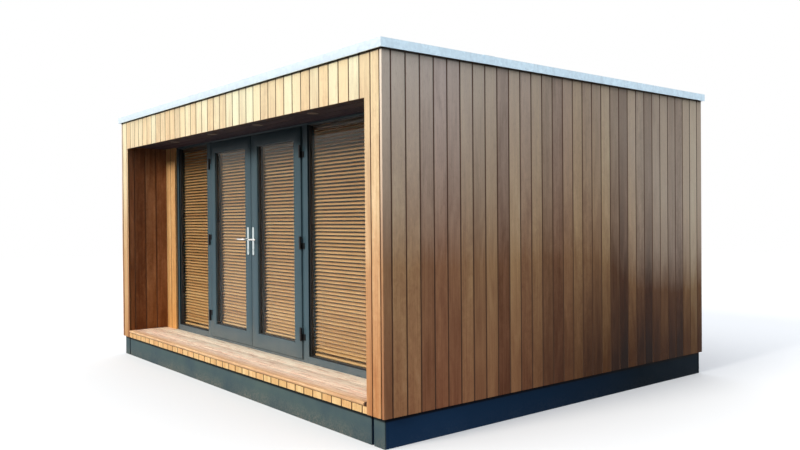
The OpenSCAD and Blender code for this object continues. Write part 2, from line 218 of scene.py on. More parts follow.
# %% Light the stage
SKY_COLOUR = (0.84, 0.88, 0.95)
SKY_TOP = 1.46
SKY_HORIZON = 0.08
HORIZON_RISE = (0.16, 0.62)
FLOOR_SEEN = (0.82, 0.82, 0.81)
FLOOR_BOUNCE = (0.05, 0.045, 0.04)
FLOOR_RADIUS = 60.0
FLOOR_SIDES = 96
FADE_START = 6.0
FADE_END = 26.0
SUNS = (
    # name, strength, colour, elevation, turn to the left of the porch's axis, softness (degrees)
    ("low_sun", 2.46, (1.0, 0.955, 0.88), 24.4, 3.0, 18.0),
    ("high_sun", 0.45, (1.0, 0.98, 0.95), 55.0, 15.0, 40.0),
)


def seen_directly(tree):
    """1 for rays that show the floor or the sky itself: from the camera, glossy or through glass."""
    path = put(tree, "LightPath")
    names = ("Is Camera Ray", "Is Glossy Ray", "Is Transmission Ray")
    camera, glossy, through = (path.outputs[name] for name in names)
    return maths(tree, "MAXIMUM", maths(tree, "MAXIMUM", camera, glossy), through)


def light_world():
    """White to the rays that show it. To all others it is a sky that is dim near the horizon."""
    world = bpy.data.worlds.new("sky")
    bpy.context.scene.world = world
    world.use_nodes = True
    tree = world.node_tree
    tree.nodes.clear()
    upward = parts(tree, put(tree, "TexCoord").outputs["Generated"])[2]
    level = spread(tree, upward, *HORIZON_RISE, SKY_HORIZON, SKY_TOP)
    sky = put(tree, "VectorMath", {0: SKY_COLOUR, "Scale": level}, operation="SCALE").outputs[0]
    colour = mixed(tree, seen_directly(tree), sky, WHITE)
    background = put(tree, "Background", {"Color": colour, "Strength": 1.0})
    output = tree.nodes.new("ShaderNodeOutputWorld")
    tree.links.new(background.outputs[0], output.inputs["Surface"])


def add_sun(name, strength, colour, elevation, turn, softness):
    """A sun that shines down by its elevation, from the porch side and its left."""
    data = bpy.data.lights.new(name, "SUN")
    data.energy = strength
    data.color = colour
    data.angle = math.radians(softness)
    sun = bpy.data.objects.new(name, data)
    bpy.context.scene.collection.objects.link(sun)
    around = Matrix.Rotation(math.radians(-turn), 4, "Z")
    down = Matrix.Rotation(math.radians(90 - elevation), 4, "X")
    sun.matrix_world = around @ down


def floor_finish():
    """A pale floor that dissolves into the white of the sky with distance."""
    finish, tree, output = new_finish("floor_paint")
    seen = seen_directly(tree)
    matt = put(tree, "BsdfDiffuse", {"Color": mixed(tree, seen, FLOOR_BOUNCE, FLOOR_SEEN)})
    white = put(tree, "Emission", {"Color": opaque(WHITE), "Strength": 1.0})
    distance = put(tree, "VectorMath", {0: object_place(tree)}, operation="LENGTH").outputs["Value"]
    fade = maths(tree, "MULTIPLY", spread(tree, distance, FADE_START, FADE_END), seen)
    both = put(tree, "MixShader", {0: fade, 1: matt.outputs[0], 2: white.outputs[0]})
    tree.links.new(both.outputs[0], output.inputs["Surface"])
    return finish


def circle(radius, sides):
    """Points at even angles round the Z axis, at height 0: radius times cosine, and radius times sine."""
    angles = np.linspace(0, 2 * np.pi, sides, endpoint=False)
    return np.column_stack([radius * np.cos(angles), radius * np.sin(angles), np.zeros(sides)])


def add_floor():
    """A disc just under the feet of the plinth."""
    rim = circle(FLOOR_RADIUS, FLOOR_SIDES)
    mesh = bpy.data.meshes.new("floor")
    mesh.from_pydata(rim.tolist(), [], [list(range(FLOOR_SIDES))])
    floor = bpy.data.objects.new("floor", mesh)
    bpy.context.scene.collection.objects.link(floor)
    mesh.materials.append(floor_finish())


bpy.context.scene.view_settings.view_transform = "Standard"
light_world()
for sun_facts in SUNS:
    add_sun(*sun_facts)
add_floor()
print("world, floor and", len(SUNS), "suns")

# %% [markdown]
# ## Solids from sections
#
# Nearly everything on this building is a bar: a section carried along a straight line.
# A solid here is a pair, its corners as one array and its faces as index arrays of one
# size each. `loft` joins a stack of equal rings into a closed solid, `frame_ring` carries
# a section round a rectangle with mitred corners, and `turned_profile` spins one round an
# upright axis. Every shape on the building comes from one of the three. Whether the faces
# point outwards is settled by arithmetic: the
# signed volume of the solid is the sum of the tetrahedra from the origin to each
# triangle, and a negative one is turned round.

# %% Helpers for solids
X_AXIS = np.array([1.0, 0.0, 0.0])
Y_AXIS = np.array([0.0, 1.0, 0.0])
Z_AXIS = np.array([0.0, 0.0, 1.0])
TURNED_SIDES = 40
# a rounded corner takes at most this share of the edges beside it
ROUNDEST = 0.45


def outward(corners, faces):
    """Turns every face round if the solid's signed volume is negative."""
    volume = 0.0
    for group in faces:
        first = corners[group[:, 0]]
        for side in range(1, group.shape[1] - 1):
            cross = np.cross(corners[group[:, side]], corners[group[:, side + 1]])
            volume += float(np.einsum("ij,ij->", first, cross))
    if volume < 0:
        faces = [group[:, ::-1] for group in faces]
    return corners, faces


def ring_quads(count, size):
    """The quads between each ring and the next one. Those of the last ring join it to the first."""
    index = np.arange(count * size).reshape(count, size)
    beside = np.roll(index, -1, axis=1)
    quads = np.stack([index, beside, np.roll(beside, -1, axis=0), np.roll(index, -1, axis=0)], axis=-1)
    return quads.reshape(-1, 4)


def loft(rings):
    """A closed solid through rings of equal size: quads between neighbours and a cap at each end."""
    rings = np.asarray(rings, float)
    count, size = rings.shape[:2]
    cap = np.arange(size)
    caps = np.stack([cap[::-1], cap + (count - 1) * size])
    return outward(rings.reshape(-1, 3), [ring_quads(count, size)[:-size], caps])


def bar(section, start, end, across, outwards, along, origin=(0.0, 0.0, 0.0)):
    """A section of (across, outwards) points carried from start to end along the third axis."""
    section = np.asarray(section, float)
    flat = section[:, :1] * across + section[:, 1:2] * outwards + np.asarray(origin, float)
    return loft([flat + along * start, flat + along * end])


def upright(section, foot, top):
    """A section in plan, stood up from foot to top."""
    return bar(section, foot, top, X_AXIS, Y_AXIS, Z_AXIS)


def lengthways(section, start, end):
    """A section of (y, z) points carried along X."""
    return bar(section, start, end, Y_AXIS, Z_AXIS, X_AXIS)


def frame_ring(rings):
    """A section carried round rectangles: each row is (left, right, foot, top, y) for one section point."""
    left, right, foot, top, depth = np.asarray(rings, float).T
    sides = [(left, foot), (right, foot), (right, top), (left, top)]
    corners = np.stack([np.column_stack([x, depth, z]) for x, z in sides], axis=1)
    return outward(corners.reshape(-1, 3), [ring_quads(len(depth), len(sides))])


def box_outline(low_a, low_b, high_a, high_b):
    """The four corners of a rectangle."""
    return np.array([[low_a, low_b], [high_a, low_b], [high_a, high_b], [low_a, high_b]], float)


def softened(outline, radius, steps=3):
    """Rounds each corner: from a point one radius before it to one after, along a parabola."""
    outline = np.asarray(outline, float)
    back = np.roll(outline, 1, axis=0) - outline
    ahead = np.roll(outline, -1, axis=0) - outline
    back_length = np.linalg.norm(back, axis=1, keepdims=True)
    ahead_length = np.linalg.norm(ahead, axis=1, keepdims=True)
    before = outline + back / back_length * np.minimum(radius, ROUNDEST * back_length)
    after = outline + ahead / ahead_length * np.minimum(radius, ROUNDEST * ahead_length)
    t = np.linspace(0, 1, steps)[None, :, None]
    curve = (1 - t) ** 2 * before[:, None] + 2 * t * (1 - t) * outline[:, None] + t**2 * after[:, None]
    return curve.reshape(-1, 2)


def soft_box(low_a, low_b, high_a, high_b, radius, steps=3):
    """A rectangle with rounded corners."""
    return softened(box_outline(low_a, low_b, high_a, high_b), radius, steps)


def turned_profile(profile, middle):
    """A closed profile of (radius, height) points spun round the upright axis through middle."""
    rings = [circle(radius, TURNED_SIDES) + (0.0, 0.0, height) for radius, height in profile]
    corners = np.concatenate(rings) + middle
    return outward(corners, [ring_quads(len(profile), TURNED_SIDES)])


print("solid helpers ready")

# %% [markdown]
# ## From solids to a piece
#
# A piece is one mesh object that holds many solids, such as all the boards of a wall.
# Boards also carry three attributes. `grain` is each point's place in its board's own
# axes (across, through, along) plus a random shift, so that every board is cut from
# another part of the tree. `board` holds three random numbers: how light it is, how red,
# and how strongly figured. `edge` says how far the point lies from the middle of the
# board, below its face and above its foot, because dirt and damp gather at edges.

# %% Helpers for pieces
SMOOTH_ANGLE = math.radians(32)


def joined(solids):
    """Many solids as one: their corners stacked, and their face indices moved along."""
    corners = []
    faces = {}
    count = 0
    for points, groups in solids:
        corners.append(points)
        for group in groups:
            faces.setdefault(group.shape[1], []).append(group + count)
        count += len(points)
    return np.concatenate(corners), [np.concatenate(groups) for groups in faces.values()]


def add_piece(name, solids, finish, body, replaced=(), attributes=None):
    """Makes one mesh object of the solids, at the origin, and rides it on its body."""
    corners, faces = joined(solids)
    sizes = np.concatenate([np.full(len(group), group.shape[1]) for group in faces])
    loops = np.concatenate([group.ravel() for group in faces])
    mesh = bpy.data.meshes.new(name)
    mesh.vertices.add(len(corners))
    mesh.vertices.foreach_set("co", corners.astype(np.float32).ravel())
    mesh.loops.add(len(loops))
    mesh.loops.foreach_set("vertex_index", loops.astype(np.int32))
    mesh.polygons.add(len(sizes))
    mesh.polygons.foreach_set("loop_start", (np.cumsum(sizes) - sizes).astype(np.int32))
    mesh.polygons.foreach_set("loop_total", sizes.astype(np.int32))
    mesh.update(calc_edges=True)
    for key, values in (attributes or {}).items():
        layer = mesh.attributes.new(key, "FLOAT_VECTOR", "POINT")
        layer.data.foreach_set("vector", values.astype(np.float32).ravel())
    mesh.shade_smooth()
    mesh.set_sharp_from_angle(angle=SMOOTH_ANGLE)
    mesh.materials.append(finish)
    piece = bpy.data.objects.new(name, mesh)
    bpy.context.scene.collection.objects.link(piece)
    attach(piece, body)
    if replaced:
        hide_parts(*replaced)
    print(f"{name}: {len(solids)} solids, {len(corners)} corners")


class BoardStack:
    """Collects boards with what their wood attributes need, until the piece is made."""

    def __init__(self):
        self.solids = []
        self.grain = []
        self.kind = []
        self.edge = []

    def add(self, solid, middle, across, through, along, kind, shift, clean=False):
        """Keeps one board. shift and kind are its random numbers, and dirt keeps off its clean points."""
        place = solid[0] - middle
        own = np.column_stack([place @ across, place @ through, place @ along])
        self.solids.append(solid)
        self.grain.append(own + shift)
        self.kind.append(np.tile(kind, (len(place), 1)))
        depth = np.where(clean, 0.0, own[:, 1].max() - own[:, 1])
        self.edge.append(np.column_stack([own[:, 0], depth, own[:, 2] - own[:, 2].min()]))

    def piece(self, name, finish, body, slot, replaced):
        """Makes the piece, with its attributes grain, board and edge."""
        attributes = {"grain": np.concatenate(self.grain), "board": np.concatenate(self.kind),
                      "edge": np.concatenate(self.edge)}
        add_piece(name, self.solids, finish, body, replaced, attributes)


def corners_of(node):
    """A node's lowest and highest corner as arrays."""
    low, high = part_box(node)
    return np.array(low), np.array(high)


print("piece helpers ready")

# %% [markdown]
# ## Cedar
#
# Western red cedar varies more from board to board than along one board: pale straw,
# honey, salmon, red brown and dark umber come out of the same bundle. So the base colour
# is read off a ramp by the board's own lightness. On it lie cloudy mottling, which is
# the figure of the wood, long faint streaks, growth rings, pin knots and short dark
# pores. The rings are honest geometry: each board's points are placed somewhere beside
# the heart of a slightly leaning trunk, and the distance from the heart gives the ring.
# The trunk's lean is what draws the long arches on a flat-sawn board.
#
# Weather does the rest, and with it some painted light. High on the wall the wood bleaches,
# towards cream where the sun falls and towards silver in the shade; this paler head partly
# paints the stronger sky light at the top of a wall and the sunlit glare on the front. The
# foot of the boards stays damp and deep in colour, which partly paints the shade near the
# ground. Dirt darkens the joints.

# %% Cedar colours and figure
CEDAR_STOPS = (
    (0.00, (0.075, 0.034, 0.018)),
    (0.22, (0.185, 0.084, 0.042)),
    (0.45, (0.370, 0.200, 0.112)),
    (0.62, (0.520, 0.305, 0.165)),
    (0.80, (0.690, 0.450, 0.240)),
    (1.00, (0.860, 0.700, 0.450)),
)
STRAW_TINT = (0.96, 1.0, 0.92)
SALMON_TINT = (1.06, 0.94, 0.90)
PORE_BROWN = (0.30, 0.18, 0.12)
KNOT_BROWN = (0.12, 0.055, 0.03)
RING_SPACING = 0.0030
LATE_WOOD = (0.55, 0.98)
HEART_LEAN = 0.016
HEART_WANDER = 0.05
HEART_NEAR = 0.012
HEART_FURTHER = 0.09
KNOT_EDGE = (0.028, 0.055)
KNOT_CHANCE = 0.80
KNOT_SHARE = 0.6
# each pattern's usual range, and how far it moves the tone
CLOUD_TONE = (0.25, 0.75, -0.10, 0.10)
CURL_TONE = (0.30, 0.70, -0.06, 0.06)
LINE_TONE = (0.32, 0.68, -0.05, 0.05)
STREAK_TONE = 0.035
RING_TONE = -0.03


def ring_share(tree, grain, figure):
    """0 to 1 across each year ring.

    The distance from a leaning, wandering heart is divided by the width of a ring, and
    its whole part is dropped.
    """
    wander = noise(tree, stretched(tree, grain, 3.0, 3.0, 1.1), 1.0, 2.0)
    across, through, along = parts(tree, grain)
    lean = maths(tree, "MULTIPLY_ADD", along, HEART_LEAN, maths(tree, "MULTIPLY", wander, HEART_WANDER))
    heart = maths(tree, "ADD", across, lean)
    depth = maths(tree, "ADD", through, maths(tree, "MULTIPLY_ADD", figure, HEART_FURTHER, HEART_NEAR))
    squares = maths(tree, "ADD", maths(tree, "MULTIPLY", heart, heart), maths(tree, "MULTIPLY", depth, depth))
    return maths(tree, "FRACT", maths(tree, "DIVIDE", maths(tree, "SQRT", squares), RING_SPACING))


class Wood:
    """What every cedar finish reads: a board's own numbers, the point's place, and the grain's patterns."""

    def __init__(self, tree):
        self.tree = tree
        self.grain = attribute(tree, "grain")
        self.light, self.red, self.figure = parts(tree, attribute(tree, "board"))
        self.depth = parts(tree, attribute(tree, "edge"))[1]
        self.y, self.height = parts(tree, object_place(tree))[1:]
        self.cloud = self.pattern((14.0, 14.0, 2.2), 3.0, 0.55, 0.6)
        self.curl = self.pattern((26.0, 26.0, 17.0), 3.0, 0.6, 0.8)
        self.streak = self.pattern((120.0, 120.0, 1.8), 3.0, 0.6, 0.2)
        self.lines = self.pattern((210.0, 210.0, 0.5), 2.0, 0.5)
        self.pore = self.pattern((650.0, 650.0, 24.0), 2.0, 0.6)
        self.late = spread(tree, ring_share(tree, self.grain, self.figure), *LATE_WOOD)

    def pattern(self, lumps, detail, roughness, distortion=0.0):
        """Noise in the board's own axes, with lumps per metre across, through and along it."""
        return noise(self.tree, stretched(self.tree, self.grain, *lumps), 1.0, detail, roughness, distortion)

    def knots(self):
        """1 inside a few small round knots: only cells whose random colour is high hold one."""
        tree = self.tree
        cells = put(tree, "TexVoronoi", {"Vector": stretched(tree, self.grain, 9.0, 9.0, 2.6), "Scale": 1.0})
        chosen = parts(tree, cells.outputs["Color"])[0]
        near = spread(tree, cells.outputs["Distance"], *KNOT_EDGE, 1.0, 0.0)
        return maths(tree, "MULTIPLY", near, maths(tree, "GREATER_THAN", chosen, KNOT_CHANCE))

    def tone(self, streaky):
        """0 dark to 1 pale: the board's lightness plus cloud, curl, streaks and lines, less the late wood."""
        tree = self.tree
        streaks = STREAK_TONE * streaky
        tone = maths(tree, "ADD", self.light, spread(tree, self.cloud, *CLOUD_TONE))
        curled = maths(tree, "MULTIPLY", spread(tree, self.curl, *CURL_TONE), self.figure)
        tone = maths(tree, "ADD", tone, curled)
        tone = maths(tree, "ADD", tone, spread(tree, self.streak, 0.3, 0.7, -streaks, streaks))
        tone = maths(tree, "ADD", tone, spread(tree, self.lines, *LINE_TONE))
        return maths(tree, "MULTIPLY_ADD", self.late, RING_TONE * streaky, tone)


print("cedar with", len(CEDAR_STOPS), "colours, rings", RING_SPACING * 1000, "mm apart")

# %% [markdown]
# Weather follows the height on the wall, from 0 at the foot to 1 under the roof, made
# a little uneven by the cloudy figure so that no level line shows. On the shaded sides it
# also follows the distance from the porch: the far end gets painted shade at its foot,
# where little light comes in from the sky, and its dark boards get the most. The deck is
# underfoot, so it has pale dust on its top and fine dark checks.

# %% Weather on the cedar
FOOT_HEIGHT = 0.20
TOP_HEIGHT = 2.44
UNEVEN_OPEN = 0.08
UNEVEN_SHELTERED = 0.03
DAMP_LEVELS = (0.0, 0.62)
DIM_LEVELS = (0.05, 0.55)
DIM_ALONG = (-1.0, 0.3)
DIM_TONES = (0.30, 0.90)
SHADE_ON_DARK_BOARD = (0.11, 0.084, 0.058)
SHADE_ON_PALE_BOARD = (0.25, 0.190, 0.125)
BLEACH_LEVELS = (0.40, 0.98)
UNBLEACHED = (0.36, 0.22, 0.13)
EARLY_ALONG = (0.3, 1.2, 0.0, 0.36)
EARLY_LEVELS = (0.12, 0.42)
FADE_ALONG = (-1.6, 0.1, 1.0, 0.45)
REGAIN_ALONG = (0.1, 0.9, 0.0, 0.17)
TRIM_SHADOW_H = 0.014
TRIM_SHADOW_BLACK = (0.020, 0.012, 0.008)
LINING_TOP_SHADOW = (0.050, 0.032, 0.026)
LINING_SHADOW_RANGE = (1.86, 2.24, 0.0, 0.72)
JOINT_DEPTH = (0.0003, 0.0024, 0.0, 0.95)
TRODDEN_DUST = (0.96, 0.69, 0.53)
DRY_DUST = (1.0, 0.90, 0.71)
DUST_TREND = (-1.74, -1.42, -0.10, 0.14)
DUST_BEHIND_NOSE = (-1.79, -1.71, 0.0, 0.78)
DUST_DEPTH = (0.0010, 0.0060, 1.0, 0.0)
CHECK_BROWN = (0.46, 0.24, 0.15)
CHECK_SHARE = 0.66
LATE_RELIEF = 0.4
PORE_RELIEF = 0.7
GRAIN_DEPTH = 0.0004
SHINE_PLAY = 0.06


def weather_level(wood, uneven):
    """0 at the foot of the boards to 1 under the roof, moved up or down by the cloudy figure."""
    tree = wood.tree
    moved = spread(tree, wood.cloud, 0.2, 0.8, -uneven, uneven)
    return maths(tree, "ADD", spread(tree, wood.height, FOOT_HEIGHT, TOP_HEIGHT), moved)


def painted_far_foot_shade(wood, colour, tone, level):
    """Paints shade on the foot of a sheltered side towards its far end, more on dark boards than pale ones.
    """
    tree = wood.tree
    dim = mixed(tree, spread(tree, tone, *DIM_TONES), SHADE_ON_DARK_BOARD, SHADE_ON_PALE_BOARD)
    away = spread(tree, wood.y, *DIM_ALONG)
    share = maths(tree, "MULTIPLY", spread(tree, level, *DIM_LEVELS, 1.0, 0.0), away)
    return mixed(tree, share, colour, dim, "MULTIPLY")


def bleached_head(wood, colour, tone, level, bleach, sheltered):
    """Blends in the bleached colour towards the roof, then the trim's painted shadow at the very top.

    A sheltered side bleaches less with distance from the porch, and lower down at its far end.
    """
    tree = wood.tree
    pale = mixed(tree, wood.red, bleach["straw"], bleach["salmon"])
    brown = spread(tree, tone, *bleach["brown_tones"], bleach["brown_share"], 0.0)
    pale = mixed(tree, brown, pale, UNBLEACHED)
    if sheltered:
        early = spread(tree, wood.y, *EARLY_ALONG)
        early = maths(tree, "MULTIPLY", early, spread(tree, level, *EARLY_LEVELS))
        level = maths(tree, "ADD", level, early)
    share = spread(tree, level, *BLEACH_LEVELS, 0.0, bleach["most"])
    if sheltered:
        along = maths(tree, "ADD", spread(tree, wood.y, *FADE_ALONG), spread(tree, wood.y, *REGAIN_ALONG))
        share = maths(tree, "MULTIPLY", share, along)
    # the bleached head also partly paints the stronger sky light high on the wall
    colour = mixed(tree, share, colour, pale)
    # painted shadow: a thin dark band under the roof trim
    trim_shadow = spread(tree, wood.height, TOP_HEIGHT - TRIM_SHADOW_H, TOP_HEIGHT - 0.3 * TRIM_SHADOW_H, 0.0, 0.9)
    return mixed(tree, trim_shadow, colour, TRIM_SHADOW_BLACK)


def dusted_deck(wood, colour):
    """Pale dust on the top behind the nose, and dark checks where a fine noise is high."""
    tree = wood.tree
    blotch = wood.pattern((34.0, 34.0, 4.0), 4.0, 0.65, 0.8)
    trend = maths(tree, "ADD", blotch, spread(tree, wood.y, *DUST_TREND))
    dust = mixed(tree, spread(tree, trend, 0.38, 0.62), TRODDEN_DUST, DRY_DUST)
    dusted = maths(tree, "MULTIPLY", spread(tree, wood.depth, *DUST_DEPTH),
                   spread(tree, wood.y, *DUST_BEHIND_NOSE))
    checks = spread(tree, wood.pattern((150.0, 150.0, 6.0), 3.0, 0.6), 0.52, 0.61)
    colour = mixed(tree, dusted, colour, dust)
    return mixed(tree, maths(tree, "MULTIPLY", checks, CHECK_SHARE), colour, CHECK_BROWN)


print("weather runs from", FOOT_HEIGHT, "to", TOP_HEIGHT, "m")

# %% [markdown]
# Every cedar finish on the building is the same wood with other weather and other painted
# light and shade, so one function makes them all, and each call says only what is special
# about its boards. The shaded boards have less sheen than those at the front, because a
# glossy wall that is seen at a low angle mirrors the pale floor and turns grey at its foot.

# %% Cedar finish
PLAIN = (1.0, 1.0, 1.0)
FRONT_DIRT = (0.110, 0.046, 0.017)
CREAM_AND_TAN = {"straw": (0.99, 0.96, 0.69), "salmon": (0.95, 0.76, 0.46),
                 "brown_tones": (0.60, 0.86), "brown_share": 0.46, "most": 0.88}
OLIVE_AND_SILVER = {"straw": (1.00, 0.90, 0.74), "salmon": (1.00, 0.86, 0.80),
                    "brown_tones": (0.24, 0.54), "brown_share": 0.36, "most": 0.92}


def cedar_finish(name, tint=PLAIN, damp=PLAIN, dirt=(0.050, 0.025, 0.015), bleach=None, sheltered=False,
                 underfoot=False, shadow_at_top=False, streaky=1.0, roughness=0.55, gloss=0.2):
    """Board colour, figure, rings, pores and knots, then weather, dirt and painted shade.

    tint multiplies the colour everywhere and damp at the foot. dirt is the colour in the
    joints, bleach the colours of a bleached head. streaky scales the streaks and rings.
    """
    finish, tree, output = new_finish(name)
    wood = Wood(tree)
    tone = wood.tone(streaky)
    colour = ramp(tree, tone, CEDAR_STOPS)
    colour = mixed(tree, 1.0, colour, mixed(tree, wood.red, STRAW_TINT, SALMON_TINT), "MULTIPLY")
    colour = mixed(tree, 1.0, colour, tint, "MULTIPLY")
    level = weather_level(wood, UNEVEN_SHELTERED if sheltered else UNEVEN_OPEN)
    if sheltered:
        colour = painted_far_foot_shade(wood, colour, tone, level)
    # the damp foot also partly paints the shade near the ground
    colour = mixed(tree, spread(tree, level, *DAMP_LEVELS, 1.0, 0.0), colour, damp, "MULTIPLY")
    if bleach:
        colour = bleached_head(wood, colour, tone, level, bleach, sheltered)
    colour = mixed(tree, spread(tree, wood.pore, 0.28, 0.42, 0.42, 0.0), colour, PORE_BROWN, "MULTIPLY")
    colour = mixed(tree, maths(tree, "MULTIPLY", wood.knots(), KNOT_SHARE), colour, KNOT_BROWN)
    # painted shadow: the lining darkens towards the soffit, in the overhang's shade
    if shadow_at_top:
        colour = mixed(tree, spread(tree, wood.height, *LINING_SHADOW_RANGE), colour, LINING_TOP_SHADOW)
    if underfoot:
        colour = dusted_deck(wood, colour)
    else:
        colour = mixed(tree, spread(tree, wood.depth, *JOINT_DEPTH), colour, dirt)
    relief = maths(tree, "ADD", maths(tree, "MULTIPLY", wood.late, LATE_RELIEF),
                   maths(tree, "MULTIPLY", wood.pore, PORE_RELIEF))
    shine = spread(tree, wood.streak, 0.2, 0.8, roughness + SHINE_PLAY, roughness - SHINE_PLAY)
    principled(tree, output, colour, shine, bumped(tree, relief, GRAIN_DEPTH, 0.5), Specular_IOR_Level=gloss)
    return finish


cedar = cedar_finish("cedar_boards", damp=(0.72, 0.52, 0.38), dirt=FRONT_DIRT, bleach=CREAM_AND_TAN)
cedar_side = cedar_finish("cedar_boards_shaded", damp=(0.82, 0.62, 0.57), dirt=(0.20, 0.11, 0.07),
                          bleach=OLIVE_AND_SILVER, sheltered=True, gloss=0.10)
cedar_lining = cedar_finish("cedar_boards_porch", tint=(1.25, 1.22, 1.15), damp=(0.60, 0.46, 0.27),
                            dirt=(0.17, 0.080, 0.043), shadow_at_top=True, gloss=0.12)
# painted shade: the soffit's dark, bluish tint
soffit_cedar_shaded = cedar_finish("cedar_boards_soffit_shaded", tint=(0.27, 0.44, 1.30), gloss=0.10)
cedar_skirt = cedar_finish("cedar_boards_low", tint=(1.06, 0.97, 0.80), dirt=FRONT_DIRT)
cedar_strip = cedar_finish("cedar_boards_strip", tint=(1.08, 0.98, 0.78), damp=(0.86, 0.74, 0.56),
                           dirt=FRONT_DIRT)
cedar_deck = cedar_finish("cedar_deck_boards", underfoot=True, streaky=2.4, roughness=0.50)
print("seven cedar finishes")

# %% [markdown]
# ## Boards with a tongue and a groove
#
# The cladding is V-jointed: each board has a tongue on one edge that slips into the
# groove of the next, and both front edges are chamfered, so that the joint shows as a V
# with a dark line at its bottom. Drawing that section truthfully costs a dozen points a
# board, and it pays: the shadow in the V is real at every angle, and the ends of the
# boards look right from below. An edge that is cut at a corner has only a small arris,
# and where two lengths of one board meet around the porch's corner the edge is plain.

# %% The section of a cladding board
BOARD_PITCH = 0.1155
JOINT_GAP = 0.0038
CHAMFER_W = 0.0050
CHAMFER_D = 0.0058
TONGUE_LOW = 0.0050
TONGUE_HIGH = 0.0100
TONGUE_OUT = 0.0070
TONGUE_PLAY = 0.0005
ARRISES = {"cut": 0.0012, "corner": 0.0026}
HAIR = 1e-6


def board_section(left, right, thickness, left_edge="joint", right_edge="joint"):
    """The board's section, from its back left corner round to its front left edge."""
    if right_edge == "joint":
        edge = right - JOINT_GAP / 2
        tip = right + TONGUE_OUT
        points = [(edge, 0.0), (edge, TONGUE_LOW), (tip, TONGUE_LOW), (tip, TONGUE_HIGH),
                  (edge, TONGUE_HIGH), (edge, thickness - CHAMFER_D), (edge - CHAMFER_W, thickness)]
    elif right_edge in ARRISES:
        arris = ARRISES[right_edge]
        points = [(right, 0.0), (right, thickness - arris), (right - arris, thickness)]
    else:
        points = [(right, 0.0), (right, thickness)]
    if left_edge == "joint":
        edge = left + JOINT_GAP / 2
        deep = edge + TONGUE_OUT + JOINT_GAP
        low = TONGUE_LOW - TONGUE_PLAY
        high = TONGUE_HIGH + TONGUE_PLAY
        points += [(edge + CHAMFER_W, thickness), (edge, thickness - CHAMFER_D), (edge, high),
                   (deep, high), (deep, low), (edge, low), (edge, 0.0)]
    elif left_edge in ARRISES:
        arris = ARRISES[left_edge]
        points += [(left + arris, thickness), (left, thickness - arris), (left, 0.0)]
    else:
        points += [(left, thickness), (left, 0.0)]
    return np.array(points)


def joint_lines(first, length):
    """The places of the joints that lie between 0 and length, one pitch apart."""
    lines = first + BOARD_PITCH * np.arange(math.floor((length - first) / BOARD_PITCH) + 1)
    return lines[(lines > HAIR) & (lines < length - HAIR)]


print("a board covers", BOARD_PITCH * 1000, "mm")

# %% [markdown]
# A wall of boards needs to know where its face starts, which way it runs and faces, and
# where its joints fall. `Bundle` draws each board's random numbers once, so that a board
# that is met twice, above the porch's opening and beside it, keeps its colour and grain.

# %% Walls of boards
THICKNESS_PLAY = 0.0005
SHORTEST_STRIP = 0.004
LIGHT_LIMITS = (0.04, 0.99)
GRAIN_PLAY = 0.12
GRAIN_APART = 3.7
HEART_ASIDE = 0.09
HEART_DEEP = 0.05
SEEDS = {
    "right_cladding": 11, "left_cladding": 23, "back_cladding": 77, "fascia_cladding": 5, "deck_fascia": 19,
    "cheek_sides": 31, "front_cladding": 8, "porch_soffit": 41, "porch_deck": 53, "room_floor": 91,
    "left_sidelight_blind": 61, "right_sidelight_blind": 62, "left_door_blind": 63, "right_door_blind": 64,
}


class Bundle:
    """The random numbers of a pile of boards, drawn from the seed of the node that they clad."""

    def __init__(self, node, count, light, light_spread, red=(0.2, 0.8)):
        draw = np.random.default_rng(SEEDS[node])
        self.light = np.clip(draw.normal(light, light_spread, count), *LIGHT_LIMITS)
        self.red = draw.uniform(*red, count)
        self.figure = draw.uniform(0.0, 1.0, count)
        apart = np.arange(count)[:, None] * GRAIN_APART
        self.shift = draw.uniform(-GRAIN_PLAY, GRAIN_PLAY, (count, 3)) + apart
        self.shift[:, 0] = draw.uniform(-HEART_ASIDE, HEART_ASIDE, count)
        self.shift[:, 1] = draw.uniform(0.0, HEART_DEEP, count)
        self.play = draw.uniform(0.0, THICKNESS_PLAY, count)

    def lighten(self, packs):
        """Makes packs of boards lighter, each given as its boards and how much."""
        for boards, more in packs:
            self.light[boards] += more

    def kind(self, board):
        """How light, how red and how strongly figured one board is."""
        return np.array([self.light[board], self.red[board], self.figure[board]])


def lay_boards(stack, bundle, origin, across, outwards, along, edges, ends, thickness, styles, first=0):
    """Lays boards side by side from origin. edges are the joints and both ends of the run."""
    last = len(edges) - 2
    for number, (left, right) in enumerate(zip(edges[:-1], edges[1:])):
        if right - left < SHORTEST_STRIP:
            continue
        board = first + number
        style = (styles[0] if number == 0 else "joint", styles[1] if number == last else "joint")
        section = board_section(left, right, thickness - bundle.play[board], *style)
        solid = bar(section, ends[0], ends[1], across, outwards, along, origin)
        middle = origin + across * (left + right) / 2 + along * (ends[0] + ends[1]) / 2
        middle = middle - along * (middle @ along)
        place = (solid[0] - origin) @ across
        clean_left = (style[0] == "cut") & (place < left + HAIR)
        clean_right = (style[1] == "cut") & (place > right - HAIR)
        stack.add(solid, middle, across, outwards, along, bundle.kind(board), bundle.shift[board],
                  clean_left | clean_right)


def run_edges(first, length):
    """Both ends of a run and the joints between them."""
    return np.concatenate([[0.0], joint_lines(first, length), [length]])


side_low, side_high = corners_of("right_cladding")
clad_t = side_high[0] - side_low[0]
wall_x = side_low[0]
half_w = side_high[0]
half_d = side_high[1]
clad_foot = side_low[2]
clad_head = side_high[2]
print("boards run from", round(clad_foot, 3), "to", round(clad_head, 3), "m")

# %% [markdown]
# The long side starts with a part board of 70 mm at the porch's corner and ends with
# another at the back. These boards are the browner ones of the bundle, which partly
# paints the shade that the side stands in, and they have begun to silver under the roof.
# They came in packs: the first ones differ little, the next pack is mixed and a shade
# darker, and the packs towards the back are paler. The left side and the back, which the
# photograph doesn't show, repeat it with other boards.

